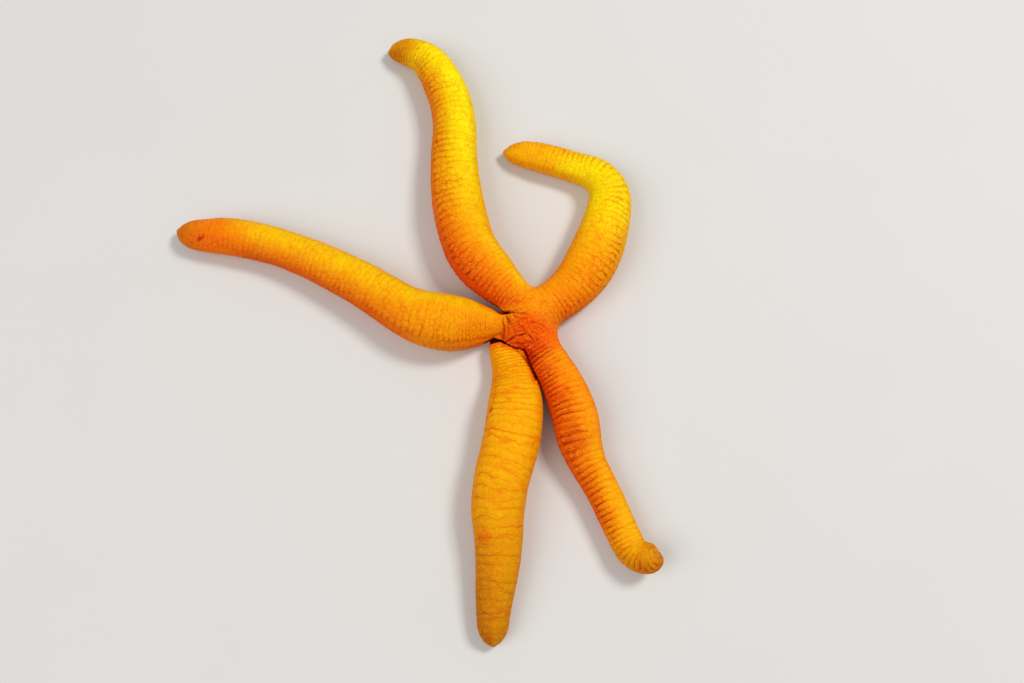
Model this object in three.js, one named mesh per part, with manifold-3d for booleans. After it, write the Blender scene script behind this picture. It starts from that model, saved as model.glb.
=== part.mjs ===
// A five-armed tropical sea star at life size, lying on its sole with its arms
// swept into the curves of a crawling animal. Millimetres, +Z up.
//
// The body is one small disc and five long, nearly cylindrical arms. Each arm
// follows a path of stretches, and each length of it is its own solid, parted
// from the next by a thin cut. A furrow for the tube feet runs along the flat
// sole of every arm to the mouth in the middle of the disc.

import * as THREE from 'three';
import { mergeVertices } from 'three/addons/utils/BufferGeometryUtils.js';
import Module from 'manifold-3d';

const wasm = await Module();
wasm.setup();

// ---------------------------------------------------------------- dimensions

const GAP = 0.3; // clear space between solids that meet
const DISC_CENTRE = { x: 51.09, y: -3.87 }; // from the middle of the animal's own footprint
const DISC_RADIUS = 13;
const DISC_HEIGHT = 17.5;
const DISC_SOLE_RADIUS = 9.5;
const HEIGHT_TO_WIDTH = 0.84; // how much an arm is flattened
const NOSE_LENGTH = 10; // the rounded end of an arm, where the arm itself names none
const NOSE_CUT = 0.985; // the nose stops just short of a point
const NOSE_LIFT = 0.35; // how far the sole rises under the nose, of the height lost
const SOLE_SHARE = 0.06; // part of a round section that the flat sole takes off
const ROOT_FADE = [8, 26]; // along an arm, where its own height takes over from the disc's

const PRESSED_ROOM = 1.05; // the room an arm takes from one pressed against it, of its own size

const FURROW_HALF_WIDTH = 0.11; // of an arm's width
const FURROW_DEPTH = 0.19; // of an arm's height
const FURROW_END = 3; // short of the arm's tip

const MOUTH_RADIUS = 4.2;
const MOUTH_DEPTH = 4.5;
const MEMBRANE_THICKNESS = 1.2;

const MADREPORITE_RADIUS = 1.9;
const MADREPORITE_HEIGHT = 1.6;
const MADREPORITE_FROM_CENTRE = 7.2;
const MADREPORITE_HEADING = -12; // degrees, in the gap between the hooked and the right arm

const SECTION_SIDES = 18;
const STEP = 5; // between rings along an arm
const NOSE_CROWDING = 1.6; // rings crowd towards the nose by this power
const TRACE_STEP = 0.5; // of the path's integration

// Each stretch: length, turn to the left in degrees, upward pitch at its end in
// degrees, and the arm's width at its end. `root` is where the path starts, from
// the disc's centre, and `rootHeight` is the arm's height where it leaves the disc.
// `lengths` says how far each solid reaches, and `pressedBy` names the arm that leans
// against this one.
const ARMS = [
  {
    name: 'arm_left', root: [0, 0], heading: 183, rootHeight: 14.5,
    stretches: [
      [11, -4, 0, 12.5],
      [16, 3, 0, 23],
      [33, -37, 0, 21],
      [54, 14, 0, 17],
      [36, 18, 0, 15.5],
      [16.4, -15, 0, 10.5],
    ],
    nose: 8.5,
    lengths: { disc: 17, base: 66, middle: 118, tip: Infinity },
  },
  {
    name: 'arm_back', root: [2, 1], heading: 115, rootHeight: 17,
    stretches: [
      [14, 19, 0, 17],
      [16, 1, 0, 22.5],
      [20, -29, 0, 23.5],
      [47, -18, 0, 20.5],
      [41, 34, 0, 17],
      [25, 72, 0, 11],
    ],
    lengths: { disc: 19, base: 66, middle: 118, tip: Infinity },
  },
  {
    name: 'arm_hooked', root: [-1, 1], heading: 38, rootHeight: 17,
    stretches: [
      [16, -6, 0, 19],
      [25, 32, 0, 23],
      [29, 16, 0, 19.5],
      [22, 80, 0, 14.5],
      [23, 4, 0, 13.5],
      [16, 10, 0, 10],
    ],
    lengths: { disc: 19, base: 48, middle: 78, bend: 104, tip: Infinity },
  },
  {
    name: 'arm_right', root: [0.2, 0], heading: 295, rootHeight: 16,
    stretches: [
      [20, 8, 0, 17],
      [32, -24, 0, 19.5],
      [18, 20, 0, 15],
      [20, -6, 0, 14],
      [13.5, 2, 4, 13.5],
      [7, 40, 24, 13],
      [9, 66, 58, 12.5],
    ],
    nose: 6.5,
    lengths: { disc: 21, base: 62, middle: 97, curl: Infinity },
  },
  {
    name: 'arm_front', root: [-8, -5], heading: 266, rootHeight: 10.5, pressedBy: 'arm_right',
    stretches: [
      [11, 17, 0, 17],
      [23, -16, 0, 23.5],
      [23, -14, 0, 23.5],
      [25, 20, 0, 21],
      [24, -10, 0, 16.5],
      [24, 9, 0, 11],
    ],
    lengths: { disc: 9, base: 52, middle: 92, tip: Infinity },
  },
];

const COLOURS = {
  disc: 0xe8650c,
  base: 0xf0800a,
  middle: 0xf5a012,
  bend: 0xf7ae12,
  tip: 0xd98c0e,
  curl: 0xdc900f,
  madreporite: 0xf0a050,
  mouth_membrane: 0x9c4a1a,
};

// ---------------------------------------------------------------- helpers

const radians = THREE.MathUtils.degToRad;
const { lerp, smoothstep } = THREE.MathUtils;

function toSolid(geometry) {
  const bare = geometry.clone();
  bare.deleteAttribute('normal');
  bare.deleteAttribute('uv');
  const merged = mergeVertices(bare, 1e-4);
  return new wasm.Manifold(new wasm.Mesh({
    numProp: 3,
    vertProperties: new Float32Array(merged.attributes.position.array),
    triVerts: new Uint32Array(merged.index.array),
  }));
}

function toMesh(name, solid, colour, roughness = 0.62) {
  const { vertProperties, triVerts } = solid.getMesh();
  const geometry = new THREE.BufferGeometry();
  geometry.setAttribute('position', new THREE.BufferAttribute(vertProperties, 3));
  geometry.setIndex(new THREE.BufferAttribute(triVerts, 1));
  geometry.computeVertexNormals();
  const material = new THREE.MeshStandardMaterial({ color: colour, roughness, metalness: 0 });
  const mesh = new THREE.Mesh(geometry, material);
  mesh.name = name;
  return mesh;
}

// A smooth curve through (xs, ys), its slope at each knot taken from the knots beside it.
function smoothThrough(xs, ys) {
  const last = xs.length - 1;
  const secant = (i) => (ys[i + 1] - ys[i]) / (xs[i + 1] - xs[i]);
  const slope = (i) => {
    if (i === 0) return secant(0);
    if (i === last) return secant(last - 1);
    const before = xs[i] - xs[i - 1];
    const after = xs[i + 1] - xs[i];
    return (secant(i - 1) * after + secant(i) * before) / (before + after);
  };
  return (x) => {
    let i = 0;
    while (i < last - 1 && x > xs[i + 1]) i += 1;
    const h = xs[i + 1] - xs[i];
    const t = THREE.MathUtils.clamp((x - xs[i]) / h, 0, 1);
    const u = 1 - t;
    return ys[i] * u * u * (1 + 2 * t) + slope(i) * h * t * u * u
      + ys[i + 1] * t * t * (3 - 2 * t) - slope(i + 1) * h * t * t * u;
  };
}

// ---------------------------------------------------------------- an arm's path

// The arm at distance s along its path: the middle of its section, the directions
// to its left and up, and its width and height there.
function traceArm(arm) {
  const knots = [0];
  const headings = [arm.heading];
  const pitches = [0];
  const widths = [arm.stretches[0][3]];
  for (const [length, turn, pitch, width] of arm.stretches) {
    knots.push(knots.at(-1) + length);
    headings.push(headings.at(-1) + turn);
    pitches.push(pitch);
    widths.push(width);
  }
  const total = knots.at(-1);
  const noseLength = arm.nose ?? NOSE_LENGTH;
  const widthAt = smoothThrough(knots, widths);
  const along = (values, s) => {
    let i = 0;
    while (i < knots.length - 2 && s > knots[i + 1]) i += 1;
    return lerp(values[i], values[i + 1], (s - knots[i]) / (knots[i + 1] - knots[i]));
  };

  const points = [new THREE.Vector3(arm.root[0], arm.root[1], 0)];
  for (let s = TRACE_STEP / 2; s < total; s += TRACE_STEP) {
    const heading = radians(along(headings, s));
    const pitch = radians(along(pitches, s));
    const ahead = new THREE.Vector3(
      Math.cos(pitch) * Math.cos(heading),
      Math.cos(pitch) * Math.sin(heading),
      Math.sin(pitch),
    );
    points.push(points.at(-1).clone().addScaledVector(ahead, TRACE_STEP));
  }

  const at = (s) => {
    const heading = radians(along(headings, s));
    const pitch = radians(along(pitches, s));
    const place = THREE.MathUtils.clamp(s / TRACE_STEP, 0, points.length - 1.001);
    const before = points[Math.floor(place)];
    const centre = before.clone().lerp(points[Math.floor(place) + 1], place % 1);

    const fullWidth = widthAt(s);
    const ownHeight = fullWidth * HEIGHT_TO_WIDTH;
    const fade = smoothstep(s, ROOT_FADE[0], ROOT_FADE[1]);
    const fullHeight = lerp(arm.rootHeight, ownHeight, fade);
    const intoNose = Math.max(0, 1 - (total - s) / noseLength) * NOSE_CUT;
    const nose = Math.sqrt(1 - intoNose * intoNose);
    centre.z += fullHeight / 2 - (1 - NOSE_LIFT * 2) * (1 - nose) * fullHeight / 2;
    return {
      centre,
      left: new THREE.Vector3(-Math.sin(heading), Math.cos(heading), 0),
      up: new THREE.Vector3(
        -Math.sin(pitch) * Math.cos(heading),
        -Math.sin(pitch) * Math.sin(heading),
        Math.cos(pitch),
      ),
      width: fullWidth * nose,
      height: fullHeight * nose,
    };
  };
  return { at, total };
}

// Carries a unit section (x from -0.5 to 0.5, y from 0 at the sole to 1 at the back)
// along an arm's path, from one distance to another.
function sweep(path, section, from, to, crowding = 1) {
  const steps = Math.max(2, Math.ceil((to - from) / STEP) + (crowding > 1 ? 3 : 0));
  const geometry = new THREE.ExtrudeGeometry(section, { depth: 1, steps, bevelEnabled: false });
  const position = geometry.attributes.position;
  const point = new THREE.Vector3();
  for (let i = 0; i < position.count; i += 1) {
    const x = position.getX(i);
    const y = position.getY(i) - 0.5;
    const share = 1 - (1 - position.getZ(i)) ** crowding;
    const ring = path.at(lerp(from, to, share));
    point.copy(ring.centre);
    point.addScaledVector(ring.left, x * ring.width);
    point.addScaledVector(ring.up, y * ring.height);
    position.setXYZ(i, point.x, point.y, point.z);
  }
  return toSolid(geometry);
}

// ---------------------------------------------------------------- sections

// A round section with a flat sole. Grown past 1, it is the room that an arm takes up.
function bodySection(grown = 1) {
  const shape = new THREE.Shape();
  const points = [];
  for (let i = 0; i < SECTION_SIDES; i += 1) {
    const angle = ((i + 0.5) / SECTION_SIDES) * 2 * Math.PI;
    const level = (0.5 + 0.5 * Math.sin(angle) - SOLE_SHARE) / (1 - SOLE_SHARE);
    const x = 0.5 * Math.cos(angle) * grown;
    const y = 0.5 + (Math.max(0, level) - 0.5) * grown;
    points.push(new THREE.Vector2(x, y));
  }
  shape.setFromPoints(points);
  return shape;
}

// The furrow in the sole, with sides that lean together above.
function furrowSection() {
  const below = -0.1;
  return new THREE.Shape([
    new THREE.Vector2(-FURROW_HALF_WIDTH * 1.1, below),
    new THREE.Vector2(FURROW_HALF_WIDTH * 1.1, below),
    new THREE.Vector2(FURROW_HALF_WIDTH, FURROW_DEPTH * 0.5),
    new THREE.Vector2(0, FURROW_DEPTH),
    new THREE.Vector2(-FURROW_HALF_WIDTH, FURROW_DEPTH * 0.5),
  ]);
}

// ---------------------------------------------------------------- disc

function discDome() {
  const profile = [new THREE.Vector2(0, 0), new THREE.Vector2(DISC_SOLE_RADIUS, 0)];
  const rimHeight = DISC_HEIGHT * 0.4;
  const rings = 7;
  for (let i = 0; i <= rings; i += 1) {
    const angle = (i / rings) * (Math.PI / 2);
    const radius = DISC_RADIUS * Math.cos(angle);
    profile.push(new THREE.Vector2(Math.max(0, radius), lerp(rimHeight, DISC_HEIGHT, Math.sin(angle))));
  }
  return toSolid(new THREE.LatheGeometry(profile, 24).rotateX(Math.PI / 2));
}

function uprightCylinder(radius, bottom, top, sides = 20) {
  const cylinder = new THREE.CylinderGeometry(radius, radius, top - bottom, sides);
  cylinder.rotateX(Math.PI / 2);
  cylinder.translate(0, 0, (top + bottom) / 2);
  return toSolid(cylinder);
}

// A low button with a domed top, its middle at the origin of its own seat.
function button(radius, height) {
  const profile = [new THREE.Vector2(0, -height), new THREE.Vector2(radius * 0.8, -height)];
  const rings = 4;
  for (let i = 0; i <= rings; i += 1) {
    const angle = (i / rings) * (Math.PI / 2);
    profile.push(new THREE.Vector2(
      Math.max(0, radius * Math.cos(angle)),
      height * 0.45 * Math.sin(angle),
    ));
  }
  return new THREE.LatheGeometry(profile, 14).rotateX(Math.PI / 2);
}

function seatMadreporite(geometry) {
  const lean = Math.asin(MADREPORITE_FROM_CENTRE / DISC_RADIUS) * 0.6;
  const share = MADREPORITE_FROM_CENTRE / DISC_RADIUS;
  const level = lerp(DISC_HEIGHT * 0.4, DISC_HEIGHT, Math.sqrt(1 - share * share));
  geometry.rotateY(lean);
  geometry.translate(MADREPORITE_FROM_CENTRE, 0, level);
  geometry.rotateZ(radians(MADREPORITE_HEADING));
  return toSolid(geometry);
}

// ---------------------------------------------------------------- assembly

const star = new THREE.Group();
star.position.set(DISC_CENTRE.x, DISC_CENTRE.y, 0);

const body = bodySection();
const furrow = furrowSection();
const paths = Object.fromEntries(ARMS.map((arm) => [arm.name, traceArm(arm)]));

let disc = discDome();
let hollows = uprightCylinder(MOUTH_RADIUS, -1, MOUTH_DEPTH);

for (const arm of ARMS) {
  const path = paths[arm.name];
  const groove = sweep(path, furrow, 0, path.total - FURROW_END);
  let from = 0;
  for (const [part, planned] of Object.entries(arm.lengths)) {
    const isLast = planned === Infinity;
    const to = isLast ? path.total : planned - GAP / 2;
    let solid = sweep(path, body, from, to, isLast ? NOSE_CROWDING : 1);
    if (part === 'disc') {
      disc = disc.add(solid);
    } else {
      if (arm.pressedBy && part === 'base') {
        solid = solid.subtract(sweep(paths[arm.pressedBy], bodySection(PRESSED_ROOM), 0, to));
      }
      star.add(toMesh(`${arm.name}_${part}`, solid.subtract(groove), COLOURS[part]));
    }
    from = planned + GAP / 2;
  }
  hollows = hollows.add(groove);
}

const madreporiteSeat = seatMadreporite(button(MADREPORITE_RADIUS + GAP, MADREPORITE_HEIGHT + GAP));
disc = disc.subtract(hollows).subtract(madreporiteSeat);
star.add(toMesh('disc', disc, COLOURS.disc));

const madreporite = seatMadreporite(button(MADREPORITE_RADIUS, MADREPORITE_HEIGHT));
star.add(toMesh('madreporite', madreporite, COLOURS.madreporite));

const membraneTop = MOUTH_DEPTH - GAP;
const membrane = uprightCylinder(MOUTH_RADIUS - GAP, membraneTop - MEMBRANE_THICKNESS, membraneTop);
star.add(toMesh('mouth_membrane', membrane, COLOURS.mouth_membrane));

export default star;
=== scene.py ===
"""A five-armed tropical sea star at life size, lying on its sole in a crawling pose.

One skin covers the disc and the five arms. It starts as a smooth body, the zero level of a
field made of swept arms and a domed disc. The plates, cracks and folds of the body wall are
then pressed into it. Small pieces join it: tube feet and spines along the furrows of the
sole, the sieve plate, the membrane round the mouth, and the last plate and the eyespot at
the end of each arm.
"""

import math

import bpy
import numpy as np
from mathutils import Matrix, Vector


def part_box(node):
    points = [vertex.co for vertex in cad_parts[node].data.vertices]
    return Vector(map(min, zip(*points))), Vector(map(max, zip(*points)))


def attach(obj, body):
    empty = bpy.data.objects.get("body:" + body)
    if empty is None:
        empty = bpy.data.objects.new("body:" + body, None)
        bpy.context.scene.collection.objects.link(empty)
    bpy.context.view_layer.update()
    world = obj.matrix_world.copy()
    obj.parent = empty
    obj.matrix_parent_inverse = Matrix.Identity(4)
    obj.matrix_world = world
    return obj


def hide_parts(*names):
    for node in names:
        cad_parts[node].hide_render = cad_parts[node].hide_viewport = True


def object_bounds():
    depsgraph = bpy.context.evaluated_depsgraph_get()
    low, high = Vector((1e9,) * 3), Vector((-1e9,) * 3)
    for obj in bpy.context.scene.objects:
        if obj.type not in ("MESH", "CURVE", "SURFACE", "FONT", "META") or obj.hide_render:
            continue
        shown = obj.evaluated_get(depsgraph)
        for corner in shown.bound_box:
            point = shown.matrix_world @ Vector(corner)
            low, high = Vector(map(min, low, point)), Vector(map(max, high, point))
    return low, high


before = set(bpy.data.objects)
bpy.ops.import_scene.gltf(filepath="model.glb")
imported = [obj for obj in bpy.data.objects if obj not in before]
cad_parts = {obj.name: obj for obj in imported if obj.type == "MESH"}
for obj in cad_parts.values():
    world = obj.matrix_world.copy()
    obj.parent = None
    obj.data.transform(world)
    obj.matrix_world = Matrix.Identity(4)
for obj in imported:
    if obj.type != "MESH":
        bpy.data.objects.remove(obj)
cad_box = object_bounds()

# ---------------------------------------------------------------- dimensions
# Lengths are in millimetres, in the frame's own axes, and MM turns them into metres.

MM = 0.001
GRID = 0.6  # cell of the grid that the body is found on
MARGIN = 3.0  # of the grid round the body
MAP_CELL = 1.5  # of the coarse maps that find the nearest place along an arm
TRACE = 0.5  # step at which an arm's path is worked out
LEAD = 12.0  # the path runs on this far, straight, at both of its ends
FAR = 30.0  # a field value well away from the body

DISC_RADIUS = 13.0
DISC_HEIGHT = 17.5
DISC_RIM = 7.0  # height of the disc's widest ring
DISC_BELOW = 10.25  # from there down to the lowest point, which the flat sole cuts off
SOLE_ROUNDING = 1.6  # how softly the sole's edge turns up
FURROW_ROUNDING = 0.8  # the same of the furrows' edges
OPENING_ROUNDING = 0.6  # the same of the edges of the mouth, the gap and the notch
CREASE_REACH = 0.9  # half width of the crease at the corner between an arm and the body
HEIGHT_TO_WIDTH = 0.84  # how much an arm is flattened
SOLE_SHARE = 0.06  # part of a round section that the flat sole takes off
ROOT_FADE = (8.0, 26.0)  # along an arm, where its own height takes over from the disc's
ROOT_ROUND = 7.0  # how far an arm reaches back behind the start of its path
NOSE_LENGTH = 10.0  # of an arm's rounded end, unless the arm names its own
NOSE_CUT = 0.985  # how far into the end's ellipse the path runs; at 1 it would end in a point
NOSE_LIFT = 0.35  # how far the sole rises under the nose, of the height lost
ANGLE_DROP = 0.03  # of the height, how far below an arm's middle its angles are taken from

FURROW_HALF_WIDTH = 0.12  # of an arm's width
FURROW_DEPTH = 0.19  # of an arm's height
FURROW_END = 3.0  # short of the arm's tip
FURROW_FADE = 8.0  # the stretch before its end over which it grows shallow
FURROW_CLOSED = 9.0  # added to its field beyond its end, where it cuts nothing
MOUTH_RADIUS = 4.2
MOUTH_DEPTH = 4.5
CHANNEL_HALF_WIDTH = 1.9  # the furrows' last stretch, from under the disc's rim to the mouth
CHANNEL_DEPTH = 3.0
CHANNEL_START = 6.0  # along an arm, where the channel leaves its furrow
OPENINGS_ZONE = 2.3 * DISC_RADIUS  # round the disc's centre, beyond the mouth and the gap

LOW, HIGH = (np.array(corner) / MM for corner in cad_box)
MOUTH_LOW, MOUTH_HIGH = (np.array(corner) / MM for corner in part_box("mouth_membrane"))
CENTRE = (MOUTH_LOW + MOUTH_HIGH) / 2 * np.array([1, 1, 0])

# The disc's rim stands over the root of the front arm, with a dark gap below it. The gap's
# line is given from the disc's centre: x, y, height of its bottom above the floor, and half
# its width.
GAP = [
    (-20.0, -11.4, 4.5, 0.6), (-17.4, -9.8, 4.5, 0.9), (-14.2, -8.4, 4.5, 1.0),
    (-11.4, -8.6, 5.6, 0.7), (-8.6, -10.2, 6.6, 0.4), (-5.6, -11.7, 7.2, 0.3),
    (-3.0, -12.0, 7.2, 0.3), (-1.0, -12.8, 6.8, 0.5), (0.3, -15.8, 6.8, 0.7),
    (1.7, -20.0, 6.8, 0.7), (3.6, -25.6, 6.0, 0.5),
]
# A notch runs in from the corner between the left and the back arm, in the same terms.
NOTCH = [
    (-18.0, 8.4, 0.5, 0.8), (-14.7, 6.7, 1.0, 0.9), (-11.7, 4.5, 4.0, 0.9),
    (-9.9, 3.9, 6.0, 0.6), (-7.4, 4.0, 9.0, 0.4),
]
GAP_MOUTH = 10.5  # the height at which the lines are given
GAP_LEAN = (0.1, 0.3)  # how far they run in under the rim, for each millimetre down
GAP_DIVIDE = 5.0  # how strongly the gap keeps the relief of its two sides apart

# Each arm's path: `root` is where it starts, from the disc's centre, `heading` its direction
# there in degrees and `root_height` its height there. Each of the `stretches` has a length, a
# turn to the left and, at its end, a pitch upwards in degrees and a width. `nose` is the length
# of the rounded end.
ARMS = [
    {
        "name": "arm_hooked", "root": (-1, 1), "heading": 38, "root_height": 17,
        "stretches": [
            (16, -6, 0, 19), (25, 32, 0, 23), (29, 16, 0, 19.5),
            (22, 80, 0, 14.5), (23, 4, 0, 13.5), (16, 10, 0, 10),
        ],
    },
    {
        "name": "arm_right", "root": (0.2, 0), "heading": 295, "root_height": 16,
        "stretches": [
            (20, 8, 0, 17), (32, -24, 0, 19.5), (18, 20, 0, 15), (20, -6, 0, 14),
            (13.5, 2, 4, 13.5), (7, 40, 24, 13), (9, 66, 58, 12.5),
        ],
        "nose": 6.5,
    },
    {
        "name": "arm_back", "root": (2, 1), "heading": 115, "root_height": 17,
        "stretches": [
            (14, 19, 0, 17), (16, 1, 0, 22.5), (20, -29, 0, 23.5),
            (47, -18, 0, 20.5), (41, 34, 0, 17), (25, 72, 0, 11),
        ],
    },
    {
        "name": "arm_left", "root": (0, 0), "heading": 183, "root_height": 14.5,
        "stretches": [
            (11, -4, 0, 12.5), (16, 3, 0, 23), (33, -37, 0, 21),
            (54, 14, 0, 17), (36, 18, 0, 15.5), (16.4, -15, 0, 10.5),
        ],
        "nose": 8.5,
    },
    {
        "name": "arm_front", "root": (-8, -5), "heading": 266, "root_height": 10.5,
        "stretches": [
            (11, 17, 0, 17), (23, -16, 0, 23.5), (23, -14, 0, 23.5),
            (25, 20, 0, 21), (24, -10, 0, 16.5), (24, 9, 0, 11),
        ],
        "nose": 8.0,
    },
]
# The arms' skins: for each word the values of the hooked, right, back, left and front arm.
SKINS = {
    # How round the corner is where the arm leaves the body, and how deep a crease lies in it
    "blend": (4.0, 4.0, 3.0, 1.3, 0.9),
    "crease": (0.0, 0.0, 0.0, 0.5, 0.5),
    # Space between rows of plates at the root and beyond, and the share of it left at the tip
    "row": ((2.0, 3.0), (1.6, 3.1), (2.0, 3.3), (0.85, 3.0), (1.3, 4.1)),
    "crowd": (0.8, 0.75, 0.8, 0.9, 0.9),
    # Depth of the cracks between rows, and of those between the plates of one row
    "groove": (0.11, 0.19, 0.115, 0.07, 0.1),
    "cross": (0.07, 0.02, 0.08, 0.08, 0.03),
    # How far the rows swell into whole rings, and how far the cracks stray, in rows
    "ringed": (0.25, 0.9, 0.2, 0.2, 0.35),
    "wander": (0.3, 0.16, 0.36, 0.36, 0.3),
    # The side in shade, which is also the rougher side (1 left, -1 right), how rough it is, and
    # how far its rows' ends stand out
    "lee": (-1, -1, 1, 1, -1),
    "rough": (0.6, 1.0, 1.0, 0.6, 0.15),
    "lobe": (0.12, 0.22, 0.36, 0.2, 0.22),
    # How orange the root is, and where that ends
    "warm": ((1.0, 55), (1.0, 116), (0.85, 72), (0.6, 62), (0.35, 150)),
    # How yellow it is at its best, and where that starts, is full, begins to fade and ends
    "gold": (
        (0.72, 39, 72, 92, 112), (0.1, 70, 90, 104, 116), (1.0, 24, 118, 144, 164),
        (0.32, 56, 84, 126, 142), (0.1, 8, 20, 62, 92),
    ),
    # Painted shade: how red the side in shade is made near the root and beyond, and where it has
    # changed over
    "shade_red": ((0.45, 0.0, 42), (1.0, 0.8, 64), (1.0, 0.75, 64), (0.3, 0.85, 64), (0.0, 0.0, 50)),
    # Painted light: how much less orange and more golden the other side, which faces the light, is
    # made
    "painted_sunlight": (0.0, 0.1, 0.95, 0.9, 0.2),
    # How strongly the tip turns to each colour, from where, and where that is full. The ochre is
    # partly the tips' own colour and partly painted shade where the light falls off towards the
    # far ends
    "ochre": (
        (0.35, 116, 134), (0.65, 96, 119), (0.7, 144, 162), (0.65, 148, 166), (0.95, 44, 140),
    ),
    "rust": ((0.0, 110, 130), (0.0, 110, 130), (0.3, 140, 162), (1.0, 128, 148), (0.15, 70, 110)),
}
PLATES_ROUND = 22  # plates in one row round an arm

# Deep folds of the disc's upper side: where each starts, from the disc's centre, its heading
# there and at its end in degrees, its length and its depth.
FOLDS = [
    ((-11.2, 3.8), -14, -20, 7.4, 1.0),
    ((-4.0, 1.8), -18, 16, 3.6, 0.55),
    ((-6.9, 3.3), -4, 8, 4.2, 0.45),
    ((-9.0, 1.8), -66, -74, 4.8, 0.65),
    ((-10.0, 1.4), -94, -86, 9.0, 0.7),
    ((-7.8, -2.4), -92, -96, 4.8, 0.5),
    ((-6.2, -3.6), -70, -86, 3.6, 0.35),
    ((-6.2, 1.2), -50, -56, 2.0, 0.5),
    ((-4.4, 0.3), -40, -6, 5.0, 0.45),
    ((0.2, -2.4), 4, -26, 4.4, 0.4),
    ((-4.9, -1.3), -56, -42, 5.6, 0.4),
    ((1.0, -6.3), -14, -18, 3.8, 0.35),
    ((5.3, -3.2), -6, -64, 5.4, 0.35),
    ((5.2, -5.3), -30, -36, 2.8, 0.3),
    ((-9.6, -9.2), 12, 30, 5.0, 0.75),
    ((-4.8, -7.4), -6, 8, 5.2, 0.75),
    ((0.2, -7.7), -32, -60, 3.6, 0.7),
    ((3.6, -8.0), -62, -68, 2.4, 0.4),
    ((-7.6, -9.5), -14, -8, 6.2, 0.5),
    ((-1.2, -10.4), -4, -16, 4.6, 0.5),
    ((-2.6, -5.2), -20, -44, 4.2, 0.4),
    ((2.4, -4.4), -30, -50, 3.4, 0.35),
]
DISC_ROWS = -20  # heading of the rows of plates on the disc, in degrees
FOLD_WIDTH = 0.45  # half width of a fold
FOLD_ZONE = 24.0  # round the disc's centre, beyond every fold
FOLDED_MIDDLE = np.array([-1.5, -3.5])  # of the disc's wrinkled part, from its centre
FOLDED_REACH = (5.5, 11.0)  # where the wrinkled part begins to fade, and where it ends
RIM_ZONE = 30.0  # round the disc's centre, beyond the gap and the notch
RED_MIDDLE = np.array([2.0, -8.0])  # of the disc's reddish part, from its centre
RED_REACH = (7.5, 17.0)  # where the red begins to fade, and where it ends
RED_FLATNESS = np.array([1.0, 1.3])  # how much narrower it is along y

# Red marks and patches of painted shade, each with its arm, its distance along it, its degrees
# left of the arm's back, its reach, how many times longer than wide it is, the heading of its
# length and its strength.
MARKS_AND_SHADES = [
    ("arm_left", 153, 32, 1.5, 2.6, 40, 0.95),
    ("arm_left", 157, 52, 1.0, 1.8, 30, 0.6),
    # The next four are painted shade, not marks: under the left arm's root beside the gap, on the
    # right arm's root beside the front arm and the disc's folds, and a painted shadow across the
    # right arm's middle.
    ("arm_left", 7, 72, 3.6, 1.8, 183, 0.6),
    ("arm_right", 12, -58, 5.0, 2.0, 115, 0.85),
    ("arm_right", 12, -12, 3.2, 1.5, 115, 0.45),
    ("arm_right", 57, -10, 8.0, 1.0, 0, 0.4),
    ("arm_front", 36, -62, 1.7, 1.3, 40, 0.7),
    ("arm_front", 39, -78, 2.0, 1.3, 60, 0.6),
    ("arm_front", 32, -50, 0.9, 1.0, 0, 0.5),
]

STRIP = 68.0  # width of an arm's strip on the flat map of the skin, with the gap beside it
DISC_STRIP = 44.0  # the same of the disc's

FOOT_PITCH = 1.7  # between one tube foot and the next in its row
SPINE_PITCH = 1.15  # between one furrow spine and the next
SIEVE_RADIUS = 1.7
SIEVE_DISTANCE = 7.2  # from the disc's centre
SIEVE_HEADING = -12  # degrees
MEMBRANE_RADIUS = 3.3

FLOOR_LEVEL = -0.05  # just clear of the sole
CAMERA_ELEVATION = 74  # degrees above the floor
CAMERA_DISTANCE = 430.0  # from the place it looks at
CAMERA_AIM = (-6.48, -8.42)  # how far that place is right of and up from the disc's middle
LIGHTS = {  # each with its place and its side in metres, and its power in watts
    "key": ((1.15, 0.6, 1.5), 0.5, 21.5),
    "fill": ((-1.2, -0.6, 1.4), 1.5, 17),
}
SKY_STRENGTH = 0.38

# ---------------------------------------------------------------- numbers and noise


def smooth_step(value, low, high):
    share = np.clip((value - low) / (high - low), 0, 1)
    return share * share * (3 - 2 * share)


def smooth_min(a, b, reach):
    overlap = np.maximum(reach - np.abs(a - b), 0) / reach
    return np.minimum(a, b) - overlap * overlap * reach / 4


def smooth_max(a, b, reach):
    return -smooth_min(-a, -b, reach)


def bell(value, width):
    return np.exp(-((value / width) ** 2))


def outside_ellipsoid(places, radii):
    """About how far each place is outside an ellipsoid with these half axes."""
    ratio = np.linalg.norm(places / radii, axis=1)
    steepness = np.linalg.norm(places / radii**2, axis=1)
    return ratio * (ratio - 1) / np.maximum(steepness, 1e-6)


def outside_groove(across, above, half, depth):
    """About how far each place is outside a groove with a round bottom, cut in from below."""
    slope = 2 * depth * across / half**2
    return (above - depth * (1 - (across / half) ** 2)) / np.sqrt(1 + slope**2)


def turned(x, y, degrees):
    """The same places in axes that are turned to the left."""
    turn = math.radians(degrees)
    return x * math.cos(turn) + y * math.sin(turn), y * math.cos(turn) - x * math.sin(turn)


def raise_to(values, near, least):
    """Brings some of the values up to at least this much."""
    values[near] = np.maximum(values[near], least)


def from_centre(points):
    """How far each point is from the disc's centre, seen from above."""
    return np.linalg.norm(points[:, :2] - CENTRE[:2], axis=1)


def scatter(*keys, seed):
    """A number from 0 to 1 for each set of whole numbers, always the same."""
    mixed = np.full(np.shape(keys[0]), (seed * 747796405 + 2891336453) % 2**32, np.uint32)
    for key in keys:
        mixed = (mixed ^ key.astype(np.int64).astype(np.uint32)) * np.uint32(0x9E3779B1)
        mixed ^= mixed >> np.uint32(15)
        mixed *= np.uint32(0x85EBCA77)
        mixed ^= mixed >> np.uint32(13)
    return mixed.astype(np.float64) / 2**32


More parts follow.
